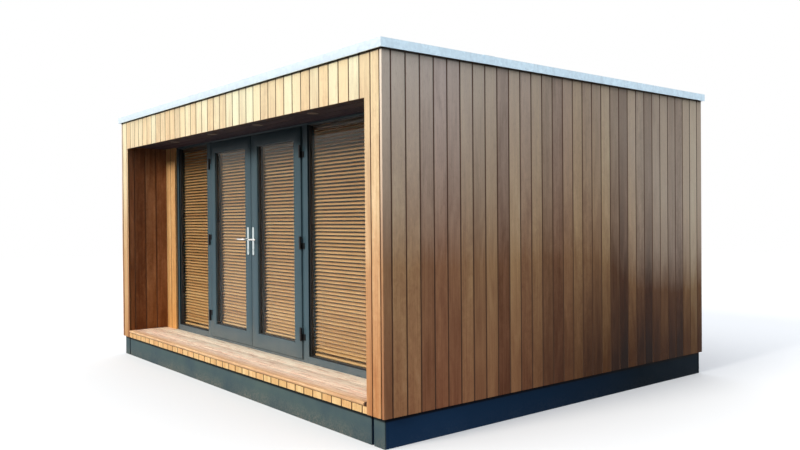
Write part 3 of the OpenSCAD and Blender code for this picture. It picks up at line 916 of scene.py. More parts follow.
# %% Clad the sides and the back
SIDE_BOARDS = 40
BACK_BOARDS = 45
SIDE_FIRST_JOINT = 0.070
# the side's lower lightness partly paints the shade it stands in
SIDE_LIGHT = 0.565
SIDE_SPREAD = 0.125
MIXED_PACK = slice(11, 36)
MIXED_MORE = 1.1
SIDE_PACKS = ((slice(12, 17), -0.08), (slice(17, 24), 0.03), (slice(24, SIDE_BOARDS), 0.14))
LESS_RED_FROM = (6, 16)
LESS_RED = 0.6


def clad_side(node, side):
    """One long side: side is 1 on the right and -1 on the left."""
    bundle = Bundle(node, SIDE_BOARDS, SIDE_LIGHT, SIDE_SPREAD)
    bundle.light[MIXED_PACK] += MIXED_MORE * (bundle.light[MIXED_PACK] - SIDE_LIGHT)
    bundle.lighten(SIDE_PACKS)
    for board in LESS_RED_FROM:
        bundle.red[board:] *= LESS_RED
    stack = BoardStack()
    edges = run_edges(SIDE_FIRST_JOINT, 2 * half_d)
    lay_boards(stack, bundle, np.array([side * wall_x, -half_d, 0.0]), Y_AXIS, side * X_AXIS, Z_AXIS,
               edges, (clad_foot, clad_head), clad_t, ("cut", "cut"))
    stack.piece(node + "_boards", cedar_side, "pod", "cedar", [node])


def clad_back():
    """The back, between the edges of the side boards, from its left corner as seen from behind."""
    bundle = Bundle("back_cladding", BACK_BOARDS, SIDE_LIGHT, SIDE_SPREAD)
    stack = BoardStack()
    edges = run_edges(SIDE_FIRST_JOINT, 2 * wall_x)
    lay_boards(stack, bundle, np.array([wall_x, half_d - clad_t, 0.0]), -X_AXIS, Y_AXIS, Z_AXIS,
               edges, (clad_foot, clad_head), clad_t, ("cut", "cut"))
    stack.piece("back_cladding_boards", cedar_side, "pod", "cedar", ["back_cladding"])


clad_side("right_cladding", 1)
clad_side("left_cladding", -1)
clad_back()

# %% [markdown]
# On the front, the joints keep one spacing from the right end over the fascia, down both
# cheeks and along the short boards under the deck. The board beside the porch's corner is
# notched round it, so it is laid as two lengths with a plain edge between them, cut from
# the same board. These are the palest boards, which partly paints the sunlight on the front.

# %% Clad the front
FRONT_BOARDS = 48
# the front's high lightness partly paints the sunlight on it
FRONT_LIGHT = 0.84
FRONT_SPREAD = 0.080
FRONT_FIRST_JOINT = 0.117
CORNER_GAP = 0.0098
PALEST = slice(14, 18)
PALEST_MORE = 0.08
PALEST_RED = 0.15
CORNER_BOARDS = slice(0, 2)
CORNER_LIGHT = (0.83, 0.75)
CORNER_RED = 0.78

cheek_low, cheek_high = corners_of("cheek_sides")
fascia_low, fascia_high = corners_of("fascia_cladding")
skirt_low, skirt_high = corners_of("deck_fascia")
cheek_x = fascia_high[0]
facade_y = fascia_low[1]
front_origin = np.array([half_w, facade_y + clad_t, 0.0])
right_cheek_in = half_w - cheek_x
left_cheek_in = 2 * half_w - right_cheek_in
front_bundle = Bundle("fascia_cladding", FRONT_BOARDS, FRONT_LIGHT, FRONT_SPREAD, (0.0, 1.0))
front_bundle.lighten([(PALEST, PALEST_MORE)])
front_bundle.red[PALEST] *= PALEST_RED
front_bundle.light[CORNER_BOARDS] = CORNER_LIGHT
front_bundle.red[CORNER_BOARDS] = CORNER_RED
skirt_bundle = Bundle("deck_fascia", FRONT_BOARDS, 0.86, 0.04, (0.2, 0.7))


def front_run(stack, bundle, from_x, to_x, foot, head, styles, set_back=0.0):
    """Boards on the front from one place to another, both measured from the right-hand corner."""
    joints = joint_lines(FRONT_FIRST_JOINT, 2 * half_w)
    inside = joints[(joints > from_x + HAIR) & (joints < to_x - HAIR)]
    edges = np.concatenate([[from_x], inside, [to_x]])
    first = int(np.searchsorted(joints, from_x + HAIR))
    lay_boards(stack, bundle, front_origin, -X_AXIS, -Y_AXIS, Z_AXIS, edges, (foot, head),
               clad_t - set_back, styles, first)


cheek_stack = BoardStack()
front_run(cheek_stack, front_bundle, half_w - wall_x + CORNER_GAP, right_cheek_in, clad_foot, clad_head,
          ("corner", "plain"))
front_run(cheek_stack, front_bundle, left_cheek_in, half_w + wall_x - CORNER_GAP, clad_foot, clad_head,
          ("plain", "corner"))
cheek_stack.piece("cheek_front_boards", cedar, "pod", "cedar", ["cheek_fronts"])

fascia_stack = BoardStack()
front_run(fascia_stack, front_bundle, right_cheek_in, left_cheek_in, fascia_low[2], clad_head,
          ("plain", "plain"))
fascia_stack.piece("fascia_boards", cedar, "pod", "cedar", ["fascia_cladding"])

skirt_stack = BoardStack()
front_run(skirt_stack, skirt_bundle, right_cheek_in, left_cheek_in, skirt_low[2], skirt_high[2],
          ("cut", "cut"), skirt_low[1] - facade_y)
skirt_stack.piece("deck_front_boards", cedar_skirt, "pod", "cedar", ["deck_fascia"])

# %% [markdown]
# Inside the porch the cheeks are lined with darker, redder boards, whose darkness partly
# paints the shade inside the porch, and their tops carry a painted shadow of the overhang.
# They are counted from the inner corner, so their part board is at the front. Two boards
# fill the strip beside each end of the screen.

# %% Line the porch
CHEEK_BOARDS = 5
STRIP_BOARDS = 3
LINING_PACKS = ((slice(5, 7), 0.035), (slice(7, 9), -0.06))

strip_low, strip_high = corners_of("front_cladding")
jamb_low, jamb_high = corners_of("screen_jambs")
# the lining's low lightness partly paints the shade inside the porch
lining_bundle = Bundle("cheek_sides", 12, 0.27, 0.085, (0.6, 1.0))
lining_bundle.lighten(LINING_PACKS)
strip_bundle = Bundle("front_cladding", 8, 0.84, 0.03, (0.4, 0.8))


def line_cheek(stack, side, first):
    """The inner face of one cheek, laid from behind the strip towards the front."""
    origin = np.array([side * cheek_high[0], cheek_high[1], 0.0])
    edges = run_edges(clad_t + BOARD_PITCH, cheek_high[1] - cheek_low[1])
    lay_boards(stack, lining_bundle, origin, -Y_AXIS, -side * X_AXIS, Z_AXIS, edges,
               (cheek_low[2], cheek_high[2]), clad_t, ("cut", "plain"), first)


def line_strip(stack, side, first):
    """The strip between a cheek and the screen, laid from the inner corner."""
    origin = np.array([side * cheek_x, strip_high[1], 0.0])
    edges = run_edges(BOARD_PITCH, cheek_x - jamb_high[0])
    if edges[-1] - edges[-2] < SHORTEST_STRIP:
        edges = np.delete(edges, -2)
    lay_boards(stack, strip_bundle, origin, -side * X_AXIS, -Y_AXIS, Z_AXIS, edges,
               (strip_low[2], strip_high[2]), clad_t, ("cut", "cut"), first)


lining_stack = BoardStack()
strip_stack = BoardStack()
for place, side in enumerate((1, -1)):
    line_cheek(lining_stack, side, place * CHEEK_BOARDS)
    line_strip(strip_stack, side, place * STRIP_BOARDS)
lining_stack.piece("cheek_lining_boards", cedar_lining, "pod", "cedar", ["cheek_sides"])
strip_stack.piece("screen_side_boards", cedar_strip, "pod", "cedar", ["front_cladding"])

# %% [markdown]
# ## Soffit and deck
#
# The soffit is the same board laid flat, face down, across the porch. It lies in deep
# shade, and its very dark boards and dark, bluish tint paint that shade into the wood.

# %% Lay the soffit
soffit_low, soffit_high = corners_of("porch_soffit")
soffit_stack = BoardStack()
# the boards' very low lightness is part of the soffit's painted shade
soffit_bundle = Bundle("porch_soffit", 8, 0.02, 0.02)
soffit_edges = run_edges(BOARD_PITCH, soffit_high[1] - soffit_low[1])
soffit_origin = np.array([0.0, soffit_low[1], soffit_high[2]])
lay_boards(soffit_stack, soffit_bundle, soffit_origin, Y_AXIS, -Z_AXIS, X_AXIS, soffit_edges,
           (soffit_low[0], soffit_high[0]), clad_t, ("cut", "cut"))
soffit_stack.piece("soffit_boards", soffit_cedar_shaded, "pod", "cedar", ["porch_soffit"])

# %% [markdown]
# The deck has three wide smooth boards, and its front edge is rounded over to a nose.
# They stand a millimetre apart. The nose stops short of the cheek at its right end, and
# a dark packing piece fills the notch behind it, so that no daylight shows through. A
# deck board's section is a rectangle with eased corners, and the nose is a half circle
# that takes the place of the two front ones.

# %% Lay the deck
DECK_BOARDS = 3
DECK_GAP = 0.0010
DECK_ROUND = 0.0012
NOSE_POINTS = 12
NOTCH_W = 0.034
NOTCH_D = 0.008
PACKING_LOW = 0.001

deck_low, deck_high = corners_of("porch_deck")
deck_top = deck_high[2]


def deck_board_section(front, back, nosed):
    """A flat board with eased edges, or with a half-round nose at its front."""
    eased = soft_box(front, deck_low[2], back, deck_top, DECK_ROUND)
    if not nosed:
        return eased
    back_foot, back_top = eased[3:6], eased[6:9]
    radius = (deck_top - deck_low[2]) / 2
    angles = np.linspace(1.5 * np.pi, 0.5 * np.pi, NOSE_POINTS)
    nose = np.column_stack([front + radius + radius * np.cos(angles),
                            deck_low[2] + radius + radius * np.sin(angles)])
    return np.concatenate([nose, back_top, back_foot])


def lay_deck():
    """Boards from the nose back to the screen. The first one is notched at its right end."""
    bundle = Bundle("porch_deck", 6, 0.80, 0.02, (0.3, 0.7))
    stack = BoardStack()
    notch = BoardStack()
    depth = (deck_high[1] - deck_low[1]) / DECK_BOARDS
    for number in range(DECK_BOARDS):
        nosed = number == 0
        front = deck_low[1] + number * depth
        back = front + depth - DECK_GAP
        right = deck_high[0] - NOTCH_W if nosed else deck_high[0]
        middle = np.array([0.0, (front + back) / 2, deck_top])
        solid = lengthways(deck_board_section(front, back, nosed), deck_low[0], right)
        stack.add(solid, middle, Y_AXIS, Z_AXIS, X_AXIS, bundle.kind(number), bundle.shift[number])
        if nosed:
            outline = box_outline(front + NOTCH_D, deck_low[2], back, deck_top - PACKING_LOW)
            packing = lengthways(outline, right, deck_high[0])
            notch.add(packing, middle, Y_AXIS, Z_AXIS, X_AXIS, np.zeros(3), bundle.shift[number])
    # The packing takes the soffit's dark finish, which paints the shade in the notch.
    notch.piece("deck_notch_packing", soffit_cedar_shaded, "pod", "cedar_deck", [])
    stack.piece("deck_boards", cedar_deck, "pod", "cedar_deck", ["porch_deck"])


lay_deck()

# %% [markdown]
# ## Paint, plinth and metal
#
# The plinth and the screen are painted. Paint on a board isn't flat: the grain still
# shows as fine ridges, dust gathers low down, and the gloss wanders a little. The plinth
# is rough and dusty near the ground and has a paler film on its front face, while the
# screen has a satin powder coat with a very fine orange peel. Both carry painted shade as
# well: the plinth darkens towards the far end and under the boards, and a dark band on the
# screen paints the shadow that the boards beside it throw on its edge.

# %% Painted finishes
PLINTH_BLUES = ((0.013, 0.041, 0.098), (0.016, 0.050, 0.116))
PLINTH_FAR_SHADE = (0.0012, 0.0070, 0.0125)
PLINTH_SHADE_ALONG = (-1.4, 0.9, 0.0, 0.96)
PLINTH_FILM = (0.210, 0.255, 0.122)
FILM_SHARE = (0.3, 0.7, 0.22, 0.36)
SPLASH_DUST = (0.26, 0.23, 0.19)
SPLASH_H = 0.11
LESS_DUST_ASIDE = 0.12
PLINTH_TOP_SHADOW = (0.006, 0.005, 0.005)
PLINTH_SHADOW_RANGE = (clad_foot - 0.028, clad_foot - 0.019, 0.0, 0.90)
PATH_FACE = corners_of("plinth_front")[0][1]
ON_PATH_FACE = (PATH_FACE + 0.012, PATH_FACE + 0.002)
ANTHRACITES = ((0.050, 0.090, 0.112), (0.063, 0.107, 0.128))
SILL_DUST = (0.20, 0.18, 0.155)
SILL_DUSTED = (0.26, 0.50, 0.45, 0.0)
JAMB_SHADOW_BLACK = (0.010, 0.012, 0.014)
JAMB_SHADOW_RANGE = (jamb_high[0] - 0.034, jamb_high[0] - 0.026, 0.0, 0.88)


def plinth_finish():
    """Slate-blue paint, painted shade at the far end and under the boards, a pale film and dust in front."""
    finish, tree, output = new_finish("plinth_paint")
    place = object_place(tree)
    depth, height = parts(tree, place)[1:]
    ridges = noise(tree, stretched(tree, place, 2.0, 2.0, 160.0), 1.0, 3.0, 0.6, 0.6)
    patches = noise(tree, place, 3.0, 4.0, 0.6)
    speckle = noise(tree, place, 90.0, 3.0, 0.7)
    path_side = spread(tree, depth, *ON_PATH_FACE)
    low = spread(tree, height, 0.0, SPLASH_H, 1.0, 0.0)
    dust = maths(tree, "MULTIPLY", low, spread(tree, speckle, 0.42, 0.62))
    dust = maths(tree, "MULTIPLY", dust, spread(tree, patches, 0.35, 0.65, 0.1, 0.8))
    dust = maths(tree, "MULTIPLY", dust, spread(tree, path_side, 0.0, 1.0, LESS_DUST_ASIDE, 1.0))
    film = maths(tree, "MULTIPLY", path_side, spread(tree, patches, *FILM_SHARE))
    colour = mixed(tree, spread(tree, patches, 0.3, 0.7), *PLINTH_BLUES)
    # painted shade: the plinth darkens towards the far end
    colour = mixed(tree, spread(tree, depth, *PLINTH_SHADE_ALONG), colour, PLINTH_FAR_SHADE)
    colour = mixed(tree, film, colour, PLINTH_FILM)
    colour = mixed(tree, dust, colour, SPLASH_DUST)
    # painted shadow: a dark band at the plinth's top, under the boards
    colour = mixed(tree, spread(tree, height, *PLINTH_SHADOW_RANGE), colour, PLINTH_TOP_SHADOW)
    normal = bumped(tree, maths(tree, "ADD", ridges, maths(tree, "MULTIPLY", dust, 0.4)), 0.0012, 0.7)
    rough = spread(tree, patches, 0.2, 0.8, 0.60, 0.74)
    principled(tree, output, colour, rough, normal, Specular_IOR_Level=0.05)
    return finish


def screen_finish():
    """Satin anthracite powder coat with fine orange peel, dust at the foot and a painted shadow beside the
    boards.
    """
    finish, tree, output = new_finish("screen_paint")
    place = object_place(tree)
    across, depth, height = parts(tree, place)
    peel = noise(tree, place, 900.0, 2.0, 0.5)
    cloud = noise(tree, place, 4.0, 4.0, 0.6)
    dusty = maths(tree, "MULTIPLY", spread(tree, height, *SILL_DUSTED),
                  spread(tree, cloud, 0.3, 0.7, 0.4, 1.0))
    # painted shadow of the boards on the outer edge of the end posts
    jamb_shadow = spread(tree, maths(tree, "ABSOLUTE", across), *JAMB_SHADOW_RANGE)
    colour = mixed(tree, spread(tree, cloud, 0.3, 0.7), *ANTHRACITES)
    colour = mixed(tree, dusty, colour, SILL_DUST)
    colour = mixed(tree, jamb_shadow, colour, JAMB_SHADOW_BLACK)
    rough = spread(tree, cloud, 0.25, 0.75, 0.30, 0.42)
    principled(tree, output, colour, rough, bumped(tree, peel, 0.00012, 0.5), Specular_IOR_Level=0.14)
    return finish


plinth_paint = plinth_finish()
screen_paint = screen_finish()
print("paints ready")

# %% [markdown]
# Metal is told apart by how it blurs what it mirrors. The roof trim is galvanised sheet:
# dull, with the faint angular patches that zinc crystals leave. Its flange, which lies
# flat, is greyer than its faces, and the face towards the sun is made palest, which paints
# the sunlight on it. The handle plates are polished chrome with a few hairlines, and the
# levers are a brighter one. The hinges are black, with a satin coat. Rubber and membrane
# hardly mirror at all.

# %% Metal, rubber and lining finishes
TRIM_FACE = corners_of("roof_trim_front")[0][1]
TRIM_TOP = corners_of("roof_trim_front")[1][2]
ZINC_CRYSTALS = ((0.58, 0.75, 0.88), (0.67, 0.85, 0.97))
ZINC_LYING = ((0.50, 0.56, 0.60), (0.64, 0.70, 0.73))
ZINC_STAIN = (0.42, 0.50, 0.56)
ZINC_PAINTED_SUNLIGHT = (0.93, 0.96, 0.97)
LYING = (TRIM_TOP - 0.004, TRIM_TOP - 0.001, 0.0, 0.75)
FACING_PORCH = (TRIM_FACE + 0.010, TRIM_FACE + 0.004, 0.0, 0.40)
HAIRLINE_PLAY = 0.10
SAWN_KNOT = (0.10, 0.05, 0.025)


def zinc_finish():
    """Galvanised sheet: crystal patches in colour and gloss, faint rain streaks and a painted sunlit face."""
    finish, tree, output = new_finish("trim_zinc")
    place = object_place(tree)
    depth, height = parts(tree, place)[1:]
    crystal = parts(tree, put(tree, "TexVoronoi", {"Vector": place, "Scale": 55.0}).outputs["Color"])[0]
    stain = noise(tree, stretched(tree, place, 14.0, 14.0, 3.0), 1.0, 4.0, 0.65)
    colour = mixed(tree, crystal, *ZINC_CRYSTALS)
    colour = mixed(tree, spread(tree, stain, 0.45, 0.75, 0.0, 0.3), colour, ZINC_STAIN)
    colour = mixed(tree, spread(tree, height, *LYING), colour, mixed(tree, crystal, *ZINC_LYING))
    # painted sunlight: the face towards the porch side is made paler
    colour = mixed(tree, spread(tree, depth, *FACING_PORCH), colour, ZINC_PAINTED_SUNLIGHT)
    rough = maths(tree, "ADD", spread(tree, crystal, 0.0, 1.0, 0.28, 0.40),
                  spread(tree, stain, 0.4, 0.8, 0.0, 0.2))
    normal = bumped(tree, noise(tree, place, 6.0, 2.0), 0.004, 0.15)
    principled(tree, output, colour, rough, normal, Metallic=0.85)
    return finish


def chrome_finish(name, dull, bright, roughness):
    """Polished chrome with fine random hairlines."""
    finish, tree, output = new_finish(name)
    hairs = noise(tree, stretched(tree, object_place(tree), 1800.0, 1800.0, 60.0), 1.0, 2.0)
    rough = spread(tree, hairs, 0.3, 0.8, roughness, roughness + HAIRLINE_PLAY)
    principled(tree, output, mixed(tree, hairs, dull, bright), rough, Metallic=1.0)
    return finish


def dark_finish(name, colour, roughness, scale, depth):
    """Black coat, rubber or membrane: a dark colour with a fine even texture."""
    finish, tree, output = new_finish(name)
    place = object_place(tree)
    fine = noise(tree, place, scale, 3.0, 0.6)
    cloud = noise(tree, place, 2.5, 4.0, 0.6)
    lighter = tuple(1.5 * part + 0.004 for part in colour)
    tint = mixed(tree, spread(tree, cloud, 0.35, 0.7), colour, lighter)
    rough = spread(tree, cloud, 0.3, 0.7, roughness - 0.05, roughness + 0.08)
    principled(tree, output, tint, rough, bumped(tree, fine, depth, 0.6), Specular_IOR_Level=0.3)
    return finish


def lining_finish(name, colour):
    """Emulsion paint with the stipple of a roller."""
    finish, tree, output = new_finish(name)
    place = object_place(tree)
    stipple = noise(tree, place, 320.0, 2.0, 0.6)
    cloud = noise(tree, place, 1.5, 3.0)
    tint = mixed(tree, cloud, colour, tuple(0.94 * part for part in colour))
    rough = spread(tree, cloud, 0.2, 0.8, 0.55, 0.68)
    principled(tree, output, tint, rough, bumped(tree, stipple, 0.0003, 0.5))
    return finish


def sawn_finish(name, colour):
    """Plain softwood or panel: grain drawn out along X, with knots as dark eyes."""
    finish, tree, output = new_finish(name)
    place = object_place(tree)
    grain = noise(tree, stretched(tree, place, 1.5, 60.0, 60.0), 1.0, 4.0, 0.6, 0.8)
    knots = put(tree, "TexVoronoi", {"Vector": stretched(tree, place, 1.6, 7.0, 7.0), "Scale": 1.0})
    knot = spread(tree, knots.outputs["Distance"], 0.03, 0.10, 0.75, 0.0)
    tint = mixed(tree, spread(tree, grain, 0.3, 0.7), colour, tuple(0.55 * part for part in colour))
    tint = mixed(tree, knot, tint, SAWN_KNOT)
    rough = spread(tree, grain, 0.3, 0.7, 0.60, 0.75)
    principled(tree, output, tint, rough, bumped(tree, grain, 0.0008, 0.6))
    return finish


zinc = zinc_finish()
chrome = chrome_finish("handle_chrome", (0.61, 0.68, 0.675), (0.71, 0.78, 0.775), 0.16)
lever_chrome = chrome_finish("lever_chrome", (0.93, 0.92, 0.90), (0.98, 0.97, 0.95), 0.26)
hinge_black = dark_finish("hinge_black", (0.010, 0.010, 0.011), 0.36, 700.0, 0.00008)
gasket_black = dark_finish("gasket_black", (0.012, 0.012, 0.012), 0.62, 500.0, 0.0001)
roof_rubber = dark_finish("roof_rubber", (0.040, 0.042, 0.045), 0.68, 240.0, 0.0004)
wall_lining = lining_finish("wall_lining", (0.80, 0.79, 0.76))
# The near-black base timber paints the shade in the gaps where it shows.
base_timber = sawn_finish("base_timber", (0.085, 0.068, 0.050))
print("metal, rubber and lining ready")

# %% [markdown]
# Painted plinth boards go round the foot. The front one stops short of a block at each
# corner, with a gap that shows as a dark line.

# %% Lay the plinth
PLINTH_ROUND = 0.003
FRONT_PLINTH_END = 2.115
CORNER_BLOCK_START = 2.140

plinth_low, plinth_high = corners_of("plinth_front")
for node in ("plinth_left", "plinth_right"):
    low, high = corners_of(node)
    plan = soft_box(low[0], low[1], high[0], high[1], PLINTH_ROUND)
    add_piece(node + "_board", [upright(plan, low[2], high[2])], plinth_paint, "pod", [node])

back_low, back_high = corners_of("plinth_back")
back_section = soft_box(back_low[1], back_low[2], back_high[1], back_high[2], PLINTH_ROUND)
add_piece("plinth_back_board", [lengthways(back_section, back_low[0], back_high[0])], plinth_paint,
          "pod", ["plinth_back"])

front_section = soft_box(plinth_low[1], plinth_low[2], plinth_high[1], plinth_high[2], PLINTH_ROUND)
front_parts = [lengthways(front_section, -FRONT_PLINTH_END, FRONT_PLINTH_END),
               lengthways(front_section, plinth_low[0], -CORNER_BLOCK_START),
               lengthways(front_section, CORNER_BLOCK_START, plinth_high[0])]
add_piece("plinth_front_board", front_parts, plinth_paint, "pod", ["plinth_front"])

# %% [markdown]
# ## Roof edge
#
# The roof's edge is a metal sheet folded twice: a flange that lies on the roof, a face
# that hangs in front of the cladding, and a hem at its foot. A sheet is a polyline with
# a thickness, so we offset the fold line by the sheet's thickness and carry that outline
# along the edge. Each side is made of lengths that lap over one another by a hand's
# width, and the corners are mitred. A mitre is simply a ring whose ends slide along by
# as much as they lie in from the face.

# %% Fold the roof trim
SHEET = 0.0016
HEM_DEPTH = 0.012
FOLD_ROUND = 0.003
LAP = 0.10
LAP_LIFT = 0.0016
TRIM_LENGTH = 2.735

trim_low, trim_high = corners_of("roof_trim_front")
half_run_x, half_run_y = trim_high[0], corners_of("roof_trim_right")[1][1]
trim_foot, roof_top = trim_low[2], trim_high[2]
trim_flange = trim_high[1] - trim_low[1]
# how far the side runs from its middle, how far out it lies, and its turn from the front
TRIM_SIDES = {
    "roof_trim_front": (half_run_x, half_run_y, 0.0),
    "roof_trim_right": (half_run_y, half_run_x, math.pi / 2),
    "roof_trim_back": (half_run_x, half_run_y, math.pi),
    "roof_trim_left": (half_run_y, half_run_x, -math.pi / 2),
}


def trim_outline(top, lift):
    """The folded sheet's section: (distance in from the face, height), as a closed outline."""
    inside, under = LAP_LIFT + SHEET, top - SHEET
    outline = [(LAP_LIFT - lift, trim_foot), (HEM_DEPTH, trim_foot), (HEM_DEPTH, trim_foot + SHEET),
               (inside, trim_foot + SHEET), (inside, under), (trim_flange, under), (trim_flange, top),
               (LAP_LIFT - lift, top)]
    return softened(outline, FOLD_ROUND / 2)


def trim_length(side, outline, start=None, end=None):
    """One length along an edge of the roof. It is mitred where it has no start or no end of its own."""
    half_run, reach, turn = side
    depth, height = outline[:, 0], outline[:, 1]
    ring_start = -half_run + depth if start is None else np.full(len(depth), start)
    ring_end = half_run - depth if end is None else np.full(len(depth), end)
    first = np.column_stack([ring_start, -reach + depth, height])
    last = np.column_stack([ring_end, -reach + depth, height])
    turned = np.array(Matrix.Rotation(turn, 3, "Z"))
    return loft([first @ turned.T, last @ turned.T])


sheet_outline = trim_outline(roof_top - LAP_LIFT, 0.0)
lap_outline = trim_outline(roof_top, LAP_LIFT)
for node, side in TRIM_SIDES.items():
    joint = side[0] - TRIM_LENGTH
    sheets = [trim_length(side, sheet_outline, end=joint), trim_length(side, sheet_outline, start=joint),
              trim_length(side, lap_outline, joint - LAP / 2, joint + LAP / 2)]
    add_piece(node + "_sheets", sheets, zinc, "pod", [node])

# %% [markdown]
# The roof's covering is one membrane in three widths. Where two widths meet, the upper
# one laps over the lower and shows as a low ridge.

# %% Lay the roof membrane
SHEETS_ACROSS = 3
SEAM_W = 0.09
SEAM_H = 0.0022
MEMBRANE_ROUND = 0.002

mat_low, mat_high = corners_of("roof_membrane")
mat_section = soft_box(mat_low[1], mat_low[2], mat_high[1], mat_high[2], MEMBRANE_ROUND)
roof_skin = [lengthways(mat_section, mat_low[0], mat_high[0])]
for seam in range(1, SHEETS_ACROSS):
    middle = mat_low[0] + (mat_high[0] - mat_low[0]) * seam / SHEETS_ACROSS
    low_y, high_y = mat_low[1] + trim_flange / 2, mat_high[1] - trim_flange / 2
    ridge = soft_box(middle - SEAM_W / 2, mat_high[2] - SEAM_H, middle + SEAM_W / 2, mat_high[2] + SEAM_H,
                     SEAM_H)
    roof_skin.append(bar(ridge, low_y, high_y, X_AXIS, Z_AXIS, Y_AXIS))
add_piece("roof_skin", roof_skin, roof_rubber, "pod", ["roof_membrane"])

# %% [markdown]
# ## The glazed screen
#
# The fixed members are hollow metal profiles with slightly eased edges. The glass is
# held from outside by a bead, a thin mitred frame that snaps in around each pane, and
# sealed by a black rubber wedge. Those two rings are what the eye reads as a window
# rather than a hole: a fine line, a bevel and a dark edge around each pane.

# %% Build the fixed members
EASED = 0.0016
MULLION_W = 0.080
STOP_D = 0.016
STOP_W = 0.015
SLOT_W = 0.028
SLOT_FOOT = 0.006
SLOT_H = 0.006
SLOT_D = 0.004
# the slots' middles along X
SLOTS = (-1.700, -1.149, -0.840, 0.541, 0.848, 1.404)

head_low, head_high = corners_of("screen_head")
post_low, post_high = corners_of("screen_mullions")
sill_low, sill_high = corners_of("sidelight_sills")
step_low, step_high = corners_of("door_threshold")
left_pane = corners_of("left_sidelight_glass")
right_pane = corners_of("right_sidelight_glass")
front_y, back_y = head_low[1], head_high[1]
stop_face = back_y - STOP_D
door_left, door_right = post_low[0] + MULLION_W, post_high[0] - MULLION_W
door_foot, glass_top = post_low[2], post_high[2]


def post(left, right, foot, top):
    """An upright member between the screen's front and back."""
    return upright(soft_box(left, front_y, right, back_y, EASED), foot, top)


def doorstop(left, right):
    """The upright strip at the back of a mullion that a leaf closes against."""
    return upright(box_outline(left, stop_face, right, back_y), door_foot, glass_top)


def stop_bar(foot, top):
    """The same strip across the doorway, on the head or on the threshold."""
    return lengthways(box_outline(stop_face, foot, back_y, top), door_left, door_right)


def slotted_rail(left, right, foot, top):
    """A rail with drain slots: its front has a shallow groove, filled between the slots."""
    slot_low = deck_top + SLOT_FOOT
    slot_high = slot_low + SLOT_H
    outline = soft_box(front_y, foot, back_y, top, EASED)
    groove = np.array([[front_y, slot_high], [front_y + SLOT_D, slot_high], [front_y + SLOT_D, slot_low],
                       [front_y, slot_low]])
    solids = [lengthways(np.concatenate([outline, groove]), left, right)]
    ends = [left]
    for middle in SLOTS:
        if left < middle < right:
            ends += [middle - SLOT_W / 2, middle + SLOT_W / 2]
    ends.append(right)
    fill = box_outline(front_y, slot_low, front_y + SLOT_D, slot_high)
    return solids + [lengthways(fill, a, b) for a, b in zip(ends[0::2], ends[1::2])]


jambs = [post(jamb_low[0], left_pane[0][0], jamb_low[2], jamb_high[2]),
         post(right_pane[1][0], jamb_high[0], jamb_low[2], jamb_high[2])]
add_piece("screen_posts_at_ends", jambs, screen_paint, "pod", ["screen_jambs"])

mullions = [post(post_low[0], door_left, door_foot, glass_top),
            post(door_right, post_high[0], door_foot, glass_top),
            doorstop(door_left, door_left + STOP_W), doorstop(door_right - STOP_W, door_right)]
add_piece("screen_posts_at_doors", mullions, screen_paint, "pod", ["screen_mullions"])

head_section = soft_box(front_y, glass_top, back_y, head_high[2], EASED)
head = [lengthways(head_section, head_low[0], head_high[0]), stop_bar(head_low[2], glass_top)]
add_piece("screen_head_rail", head, screen_paint, "pod", ["screen_head"])

sills = slotted_rail(sill_low[0], post_low[0], sill_low[2], sill_high[2])
sills += slotted_rail(post_high[0], sill_high[0], sill_low[2], sill_high[2])
add_piece("sidelight_sill_rails", sills, screen_paint, "pod", ["sidelight_sills"])

threshold = slotted_rail(step_low[0], step_high[0], step_low[2], door_foot)
threshold.append(stop_bar(door_foot, step_high[2]))
add_piece("threshold_rail", threshold, screen_paint, "pod", ["door_threshold"])

# %% [markdown]
# Beads, wedges and door leaves are all sections carried round a rectangle. A section
# point is given by the rectangle it is measured from, how far it lies inside that one,
# and its depth. Mixing points from the leaf's outline with points from its pane gives a
# whole door leaf in one mitred ring, although its stiles and rails differ in width.

# %% Rings around the panes
BEAD_W = 0.014
BEAD_PROUD = 0.0008
BEAD_BEVEL = 0.004
BEAD_ROUND = 0.0006
BEAD_LIP = 0.002
WEDGE_W = 0.005
WEDGE_D = 0.006
WEDGE_EDGE = 0.001
SEAL_T = 0.0045
# how far the seal's foot and its narrower tip lie inside the doorway
SEAL_FOOT = (0.004, 0.010)
SEAL_TIP = (0.005, 0.009)


def rectangle_of(node):
    """The (left, right, foot, top) of a node."""
    low, high = corners_of(node)
    return low[0], high[0], low[2], high[2]


def ring_rows(points):
    """Rows for frame_ring: each point is (rectangle, how far inside it, depth)."""
    rows = []
    for (left, right, foot, top), inside, depth in points:
        rows.append((left + inside, right - inside, foot + inside, top - inside, depth))
    return rows


def bead_ring(pane, front, glass_front):
    """The snap-in bead: a thin raised frame that slopes to the glass."""
    points = [(pane, -BEAD_W, front + BEAD_LIP), (pane, -BEAD_W, front - BEAD_PROUD + BEAD_ROUND),
              (pane, BEAD_ROUND - BEAD_W, front - BEAD_PROUD), (pane, -BEAD_BEVEL, front - BEAD_PROUD),
              (pane, 0.0, front + BEAD_BEVEL), (pane, 0.0, glass_front), (pane, -BEAD_LIP, glass_front)]
    return frame_ring(ring_rows(points))


def wedge_ring(pane, face, outwards):
    """A rubber wedge on one face of a pane. outwards is -1 towards the front and 1 towards the back."""
    points = [(pane, 0.0, face), (pane, WEDGE_W, face), (pane, WEDGE_W, face + outwards * WEDGE_EDGE),
              (pane, 0.6 * WEDGE_W, face + outwards * 0.7 * WEDGE_D), (pane, 0.0, face + outwards * WEDGE_D)]
    return frame_ring(ring_rows(points))


